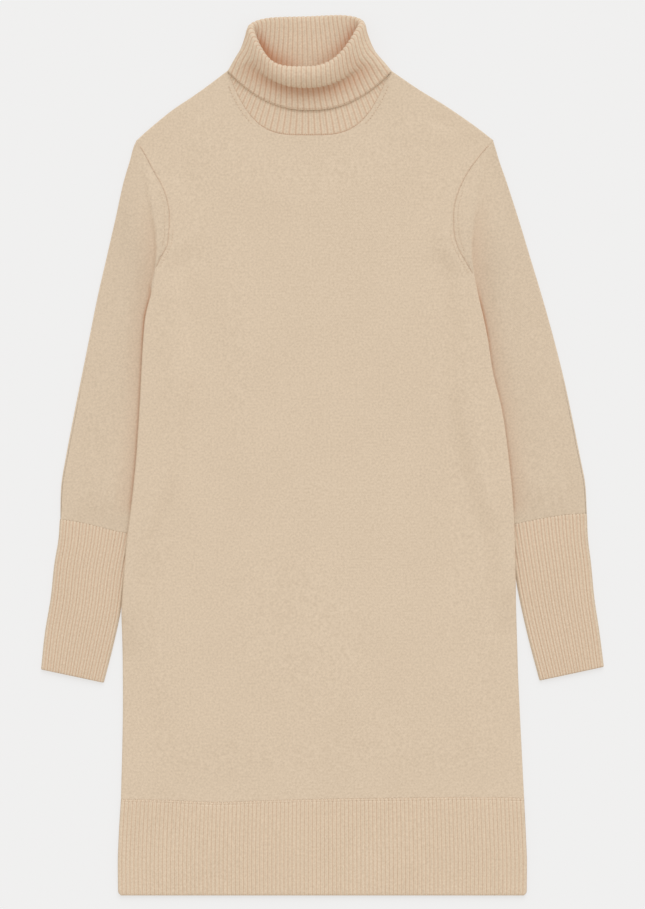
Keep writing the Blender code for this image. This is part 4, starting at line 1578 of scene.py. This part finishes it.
@dataclass
class Collar:
    """The roll collar: one strip of rib knit in the round, turned down on itself."""

    tilt: float = 2.2  # how much higher its right side lies
    tilt_from: float = 960.0  # h from which it tilts and sags
    tilt_over: float = 30.0  # over what height that comes in
    sag: float = 1.2  # how far its top sinks between the sides
    oval: float = 1.35  # how much wider than high its side folds are
    straighten: float = 1.0  # over how many rings its ribs are kept straight
    turn: int = 5  # the ring at the rim, past which its back lies on the surface
    fold: float = 9.3  # the ring in the hollow under the roll
    course: float = 12.0  # cloth from one ring to the next, near the two edges
    map_course: float = 13.0  # the same on the stitch map
    edge: float = 1.3  # radius of the edges
    inner_groove: float = 0.5  # depth of the troughs in the face that is folded inside
    back_groove: float = 0.45  # their depth where the cloth faces the surface
    darkest: float = 2.2  # most painted shade depth that a place comes to
    under: float = 0.7  # over how many rings the painted shade in the hollow runs out
    flank_ring: tuple[float, float] = (8.0, 1.6)  # where the flanks' painted shade is, and its reach
    pocket: float = 15.0  # height of the painted shade inside the roll
    pocket_left: float = 1.6  # how much darker that painted shade is at the left
    flank: float = 0.3  # how dark the painted shade on the roll's flanks is at the front
    pocket_start: float = 3.0  # how far inside the rim that painted shade begins
    pocket_middle: float = 0.1  # how dark it is in the middle
    pocket_sides: float = 1.5  # how much darker at the sides
    neck_shade_cut: float = 0.35  # how much lighter the painted shade in the troughs near the neckline is
    neck_shade_ring: tuple[float, float] = (2.6, 0.6)  # where that ends, and over how many rings
    ribs: int = 60  # ribs round it
    steps: int = 8  # columns to one rib

    def rows(self) -> Array:
        """The rows of its grid, counted in rings."""
        last = len(COLLAR_RINGS) - 1
        near = np.array([0, 0.04, 0.09])
        return np.concatenate([near, np.linspace(0.18, last - 0.16, 70), last - near[::-1] / 1.2])

    def columns(self, rows: Array) -> Array:
        """Place its columns so that the ribs are even in each row and straight from it on.

        Args:
            rows: The rows of its grid.

        Returns:
            The place of each column round it, 0 to 4, for each row.
        """
        dense = np.linspace(0.5, 4.5, 801)
        ring = self.middle(rows, dense % 4)
        share = np.arange(self.ribs * self.steps) / (self.ribs * self.steps)
        ways = [run(line) for line in ring]
        even = np.array([np.interp(share * way[-1], way, dense) for way in ways]) % 4
        half, reach = self.widths(rows)
        x, on_front = self.across(half, reach, even)
        turn = np.arcsin(np.clip(x / half, -1, 1))
        turn = np.unwrap(np.where(on_front, turn, math.pi - turn), axis=1)
        near = bell(rows[:, None] - rows[None, :], self.straighten)
        turn = near @ turn / near.sum(axis=1)[:, None]
        flat = half - reach
        x, front = half * np.sin(turn), np.cos(turn) > 0
        bend = np.arcsin(np.clip((np.abs(x) - flat) / reach, 0, 1)) / math.pi
        on_flat = np.where(front, (x / flat + 1) / 2, 2.5 - x / flat / 2)
        right = 1 + np.where(front, bend, 1 - bend)
        left = 3 + np.where(front, 1 - bend, bend)
        return np.where(np.abs(x) <= flat, on_flat, np.where(x > 0, right, left)) % 4

    def widths(self, rows: Array) -> tuple[Array, Array]:
        """Measure its width.

        Args:
            rows: Rows of its grid.

        Returns:
            Half its width, and how much of that its side fold takes, for each row.
        """
        table = np.array([(ring.half, ring.z_top - ring.z_low) for ring in COLLAR_RINGS])
        half, open_by = hermite(np.arange(len(table), dtype=float), table, rows).T[:, :, None]
        return half, open_by / 2 * self.oval

    @staticmethod
    def across(half: Array, reach: Array, columns: Array) -> tuple[Array, Array]:
        """Turn places round it into places across it.

        Args:
            half: Half its width.
            reach: How much of that the side fold takes.
            columns: Places round it.

        Returns:
            x from its middle and whether it is on the front, for each place.
        """
        part = np.floor(columns).astype(int) % 4
        share = columns - np.floor(columns)
        flat, bend = half - reach, reach * np.sin(math.pi * share)
        x = np.select(
            [part == 0, part == 1, part == 2],
            [flat * (2 * share - 1), flat + bend, flat * (1 - 2 * share)],
            -flat - bend,
        )
        on_front = (part == 0) | ((part == 1) & (share < 0.5)) | ((part == 3) & (share >= 0.5))
        return x, on_front

    def middle(self, rows: Array, columns: Array) -> Array:
        """Draw the middle of its wall.

        Args:
            rows: Rows of its grid.
            columns: Places round it.

        Returns:
            Points, rows of columns.
        """
        table = np.array([list(vars(ring).values()) for ring in COLLAR_RINGS])
        (
            centre, half, side, front, back, z_front, z_top, z_low, z_back, left, right, rear,
            shoulder,
        ) = hermite(np.arange(len(table), dtype=float), table, rows).T[:, :, None]
        part = np.floor(columns).astype(int) % 4
        reach = (z_top - z_low) / 2 * self.oval
        flat = half - reach
        x, on_front = self.across(half, reach, columns)
        place = np.clip(np.abs(x) / half, 0.0, 1.0)
        bowl = (front - side) * (1 - place ** np.where(x < 0, left, right))
        h = side + np.where(on_front, bowl, (back - side) * (1 - place**rear) ** shoulder)
        high = smooth_step((h - self.tilt_from) / self.tilt_over)
        h = h + (self.tilt * x / half + self.sag * (place**2 - 1)) * high
        inwards = (1 - np.clip(np.abs(x) / flat, 0, 1) ** 2) ** 2
        bend = (z_top - z_low) / 2 * np.cos(math.pi * (columns - np.floor(columns)))
        z = np.select(
            [part == 0, part == 1, part == 2],
            [z_top + (z_front - z_top) * inwards, (z_top + z_low) / 2 + bend,
             z_low + (z_back - z_low) * inwards],
            (z_top + z_low) / 2 - bend,
        )
        return np.stack([centre + x, h, z], axis=-1)

    def outwards(self, rows: Array, columns: Array) -> Array:
        """Find which way the face that shows points.

        Args:
            rows: Rows of its grid.
            columns: Places round it.

        Returns:
            The way out of the cloth there, one long.
        """
        step = 0.02
        last = rows[-1]
        ahead = self.middle(np.minimum(rows + step, last), columns)
        behind = self.middle(np.maximum(rows - step, 0), columns)
        after = self.middle(rows, (columns + step) % 4)
        before = self.middle(rows, (columns - step) % 4)
        return unit(np.cross(ahead - behind, after - before))

    def painted_occlusion(self, rows: Array, columns: Array, middle: Array) -> Array:
        """Find how much painted shade it takes: inside the roll, and under it at the front.

        Args:
            rows: The rows of its grid.
            columns: Place of each column round it, for each row.
            middle: The middle of its wall there.

        Returns:
            Painted shade, 0 in the open and more the darker each place is.
        """
        rim = self.middle(np.array([float(self.turn)]), np.linspace(0, 1, 65)[None])[0]
        part = np.floor(columns).astype(int) % 4
        above = middle[..., 1] - np.interp(middle[..., 0], rim[:, 0], rim[:, 1])
        off = middle[..., 0] - rim[:, 0].mean()
        side = np.abs(off) / (np.ptp(rim[:, 0]) / 2)
        pocket = bell(np.maximum(above - self.pocket_start, 0.0), self.pocket)
        pocket *= np.clip(self.pocket_middle + self.pocket_sides * side, 0, 1.7)
        pocket *= np.where(off < 0, self.pocket_left, 1.0)
        across = np.sin(math.pi * (columns - np.floor(columns))) ** 0.5
        under = bell(rows - self.fold, self.under)[:, None] * across
        ring, reach = self.flank_ring
        flank = self.flank * bell(rows - ring, reach)[:, None] * smooth_step(side - 0.3)
        inside = (rows < self.turn - 0.3)[:, None] & (part != 0)
        return np.where(inside, pocket, np.where(part == 0, under + flank, 0.0))

    def build(self, rib: Cloth) -> tuple[bpy.types.Object, Array]:
        """Build it.

        Args:
            rib: The rib knit.

        Returns:
            The collar and the points of its edge at the front, from left to right.
        """
        rows = self.rows()
        columns = self.columns(rows)
        count = np.arange(self.ribs * self.steps) / self.steps
        crest = np.broadcast_to(ridges(count), columns.shape)
        middle, way = self.middle(rows, columns), self.outwards(rows, columns)
        proud = smooth_step(way[..., 2] / 0.5 + 0.8)
        depth = np.minimum(rows, rows[-1] - rows) * self.course
        share = rounded(depth, self.edge)[:, None]
        relief = proud * RIB_HEIGHT * crest - (1 - proud) * self.back_groove * (1 - crest)
        outer = middle + ((RIB_WALL / 2 + relief) * share)[..., None] * way
        thick = RIB_WALL / 2 + self.inner_groove * (1 - crest)
        inner = middle - (thick * share)[..., None] * way
        # Painted shade: in the troughs between ribs, less near the neckline, inside the roll and
        # under it
        dark = 1 - self.neck_shade_cut * fade_up(rows, self.neck_shade_ring)[:, None]
        painted_occlusion = self.painted_occlusion(rows, columns, middle)
        trough = np.minimum(dark * (1 - crest) ** 2 + painted_occlusion, self.darkest)
        u, v = np.append(count, self.ribs) * RIB_WIDTH, rows * self.map_course
        stitches = np.stack(np.broadcast_arrays(u[None, :], v[:, None]), axis=-1)
        made = Wall(
            "roll_collar", "collar", Face(outer, count, stitches, trough),
            Face(inner, count, stitches, (1 - crest) ** 2), float(self.ribs),
        ).build(rib)
        edge = -4  # the row just inside the rounded edge
        on_front = (np.floor(columns[edge]).astype(int) % 4 == 0) & (way[edge, :, 2] > 0.3)
        places = outer[edge][on_front]
        return made, places[np.argsort(places[:, 0])]


# ---- Studio ----


@dataclass
class Studio:
    """The camera, the surface and the light."""

    middle: tuple[float, float] = (0.000575, -0.0004)  # where the camera points
    distance: float = 3.0  # height of the camera
    view_height: float = 1.04535  # height of the view where the dress lies
    sensor: float = 24.0  # height of the sensor
    room: float = 0.74  # strength of the light from all round
    room_tint: tuple[float, float, float] = (1.053, 1.0, 0.937)  # its colour
    window: float = 1.35  # strength of the light from beyond the collar
    window_tint: tuple[float, float, float] = (0.92, 1.0, 1.1)  # its colour
    elevation: float = 40.0  # how high it stands
    azimuth: float = 172.0  # which way it points
    spread: float = 45.0  # how broad it is, in degrees

    @staticmethod
    def link(name: str, data: bpy.types.ID) -> bpy.types.Object:
        """Put a camera or a light in the scene.

        Args:
            name: Its name.
            data: What it is.

        Returns:
            Its object.
        """
        made = bpy.data.objects.new(name, data)
        bpy.context.scene.collection.objects.link(made)
        return made

    def camera(self) -> None:
        """Hang the camera straight above the dress."""
        data = bpy.data.cameras.new("camera")
        data.sensor_fit = "VERTICAL"
        data.sensor_height = self.sensor
        data.lens = self.sensor * self.distance / self.view_height
        made = self.link("camera", data)
        made.location = (*self.middle, self.distance)
        bpy.context.scene.camera = made

    def surface(self) -> None:
        """Lay the pale surface."""
        bpy.ops.object.select_all(action="DESELECT")
        bpy.ops.mesh.primitive_plane_add(size=12, location=(0, 0, 0))
        floor = bpy.context.object
        floor.name = "pale_surface"
        floor.data.materials.append(SurfaceFinish().material())

    def light(self) -> None:
        """Light the dress softly, mostly from its upper left."""
        scene = bpy.context.scene
        world = bpy.data.worlds.new("soft_light")
        world.use_nodes = True
        sky = world.node_tree.nodes["Background"]
        sky.inputs["Color"].default_value = (*self.room_tint, 1.0)
        sky.inputs["Strength"].default_value = self.room
        scene.world = world
        data = bpy.data.lights.new("window", "SUN")
        data.energy = self.window
        data.angle = math.radians(self.spread)
        data.color = self.window_tint
        tilt, turn = math.radians(90 - self.elevation), math.radians(self.azimuth)
        self.link("window", data).rotation_euler = (tilt, 0.0, turn)
        scene.view_settings.view_transform = "Standard"


# ---- The dress ----


def main() -> None:
    """Build the dress in its finishes and light it."""
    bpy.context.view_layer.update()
    studio = Studio()
    studio.camera()
    jersey = KnitFinish("oatmeal_plain_knit", "oatmeal_jersey", PLAIN_LIGHT, WALE).cloth()
    rib = KnitFinish("oatmeal_rib_knit", "oatmeal_rib", RIB_LIGHT, RIB_WIDTH).cloth()

    body, hem = Body(), HemRib()
    front, face = body.front(jersey)
    back = body.back(jersey)
    stitching = Stitching(face, jersey, rib)
    trims = stitching.neckline()
    for side in Side:
        trims += stitching.armhole(side)
    hem_front, hem_back = hem.build(True, rib), hem.build(False, rib)
    top_row = stitching.hem(hem.ribs, JERSEY + LAYER_GAP + hem.raised + RIB_WALL)
    for side, area, cuff_area in ((Side.LEFT, 0.067, 0.029), (Side.RIGHT, 0.072, 0.031)):
        sleeve = Sleeve(side)
        tube = sleeve.build(jersey)
        cuff = sleeve.build_cuff(rib)
    collar, edge = Collar().build(rib)
    edge_row = stitching.collar_edge(edge)

    studio.surface()
    studio.light()


if __name__ == "__main__":
    logging.basicConfig(level=logging.INFO, format="%(message)s")
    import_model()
    main()
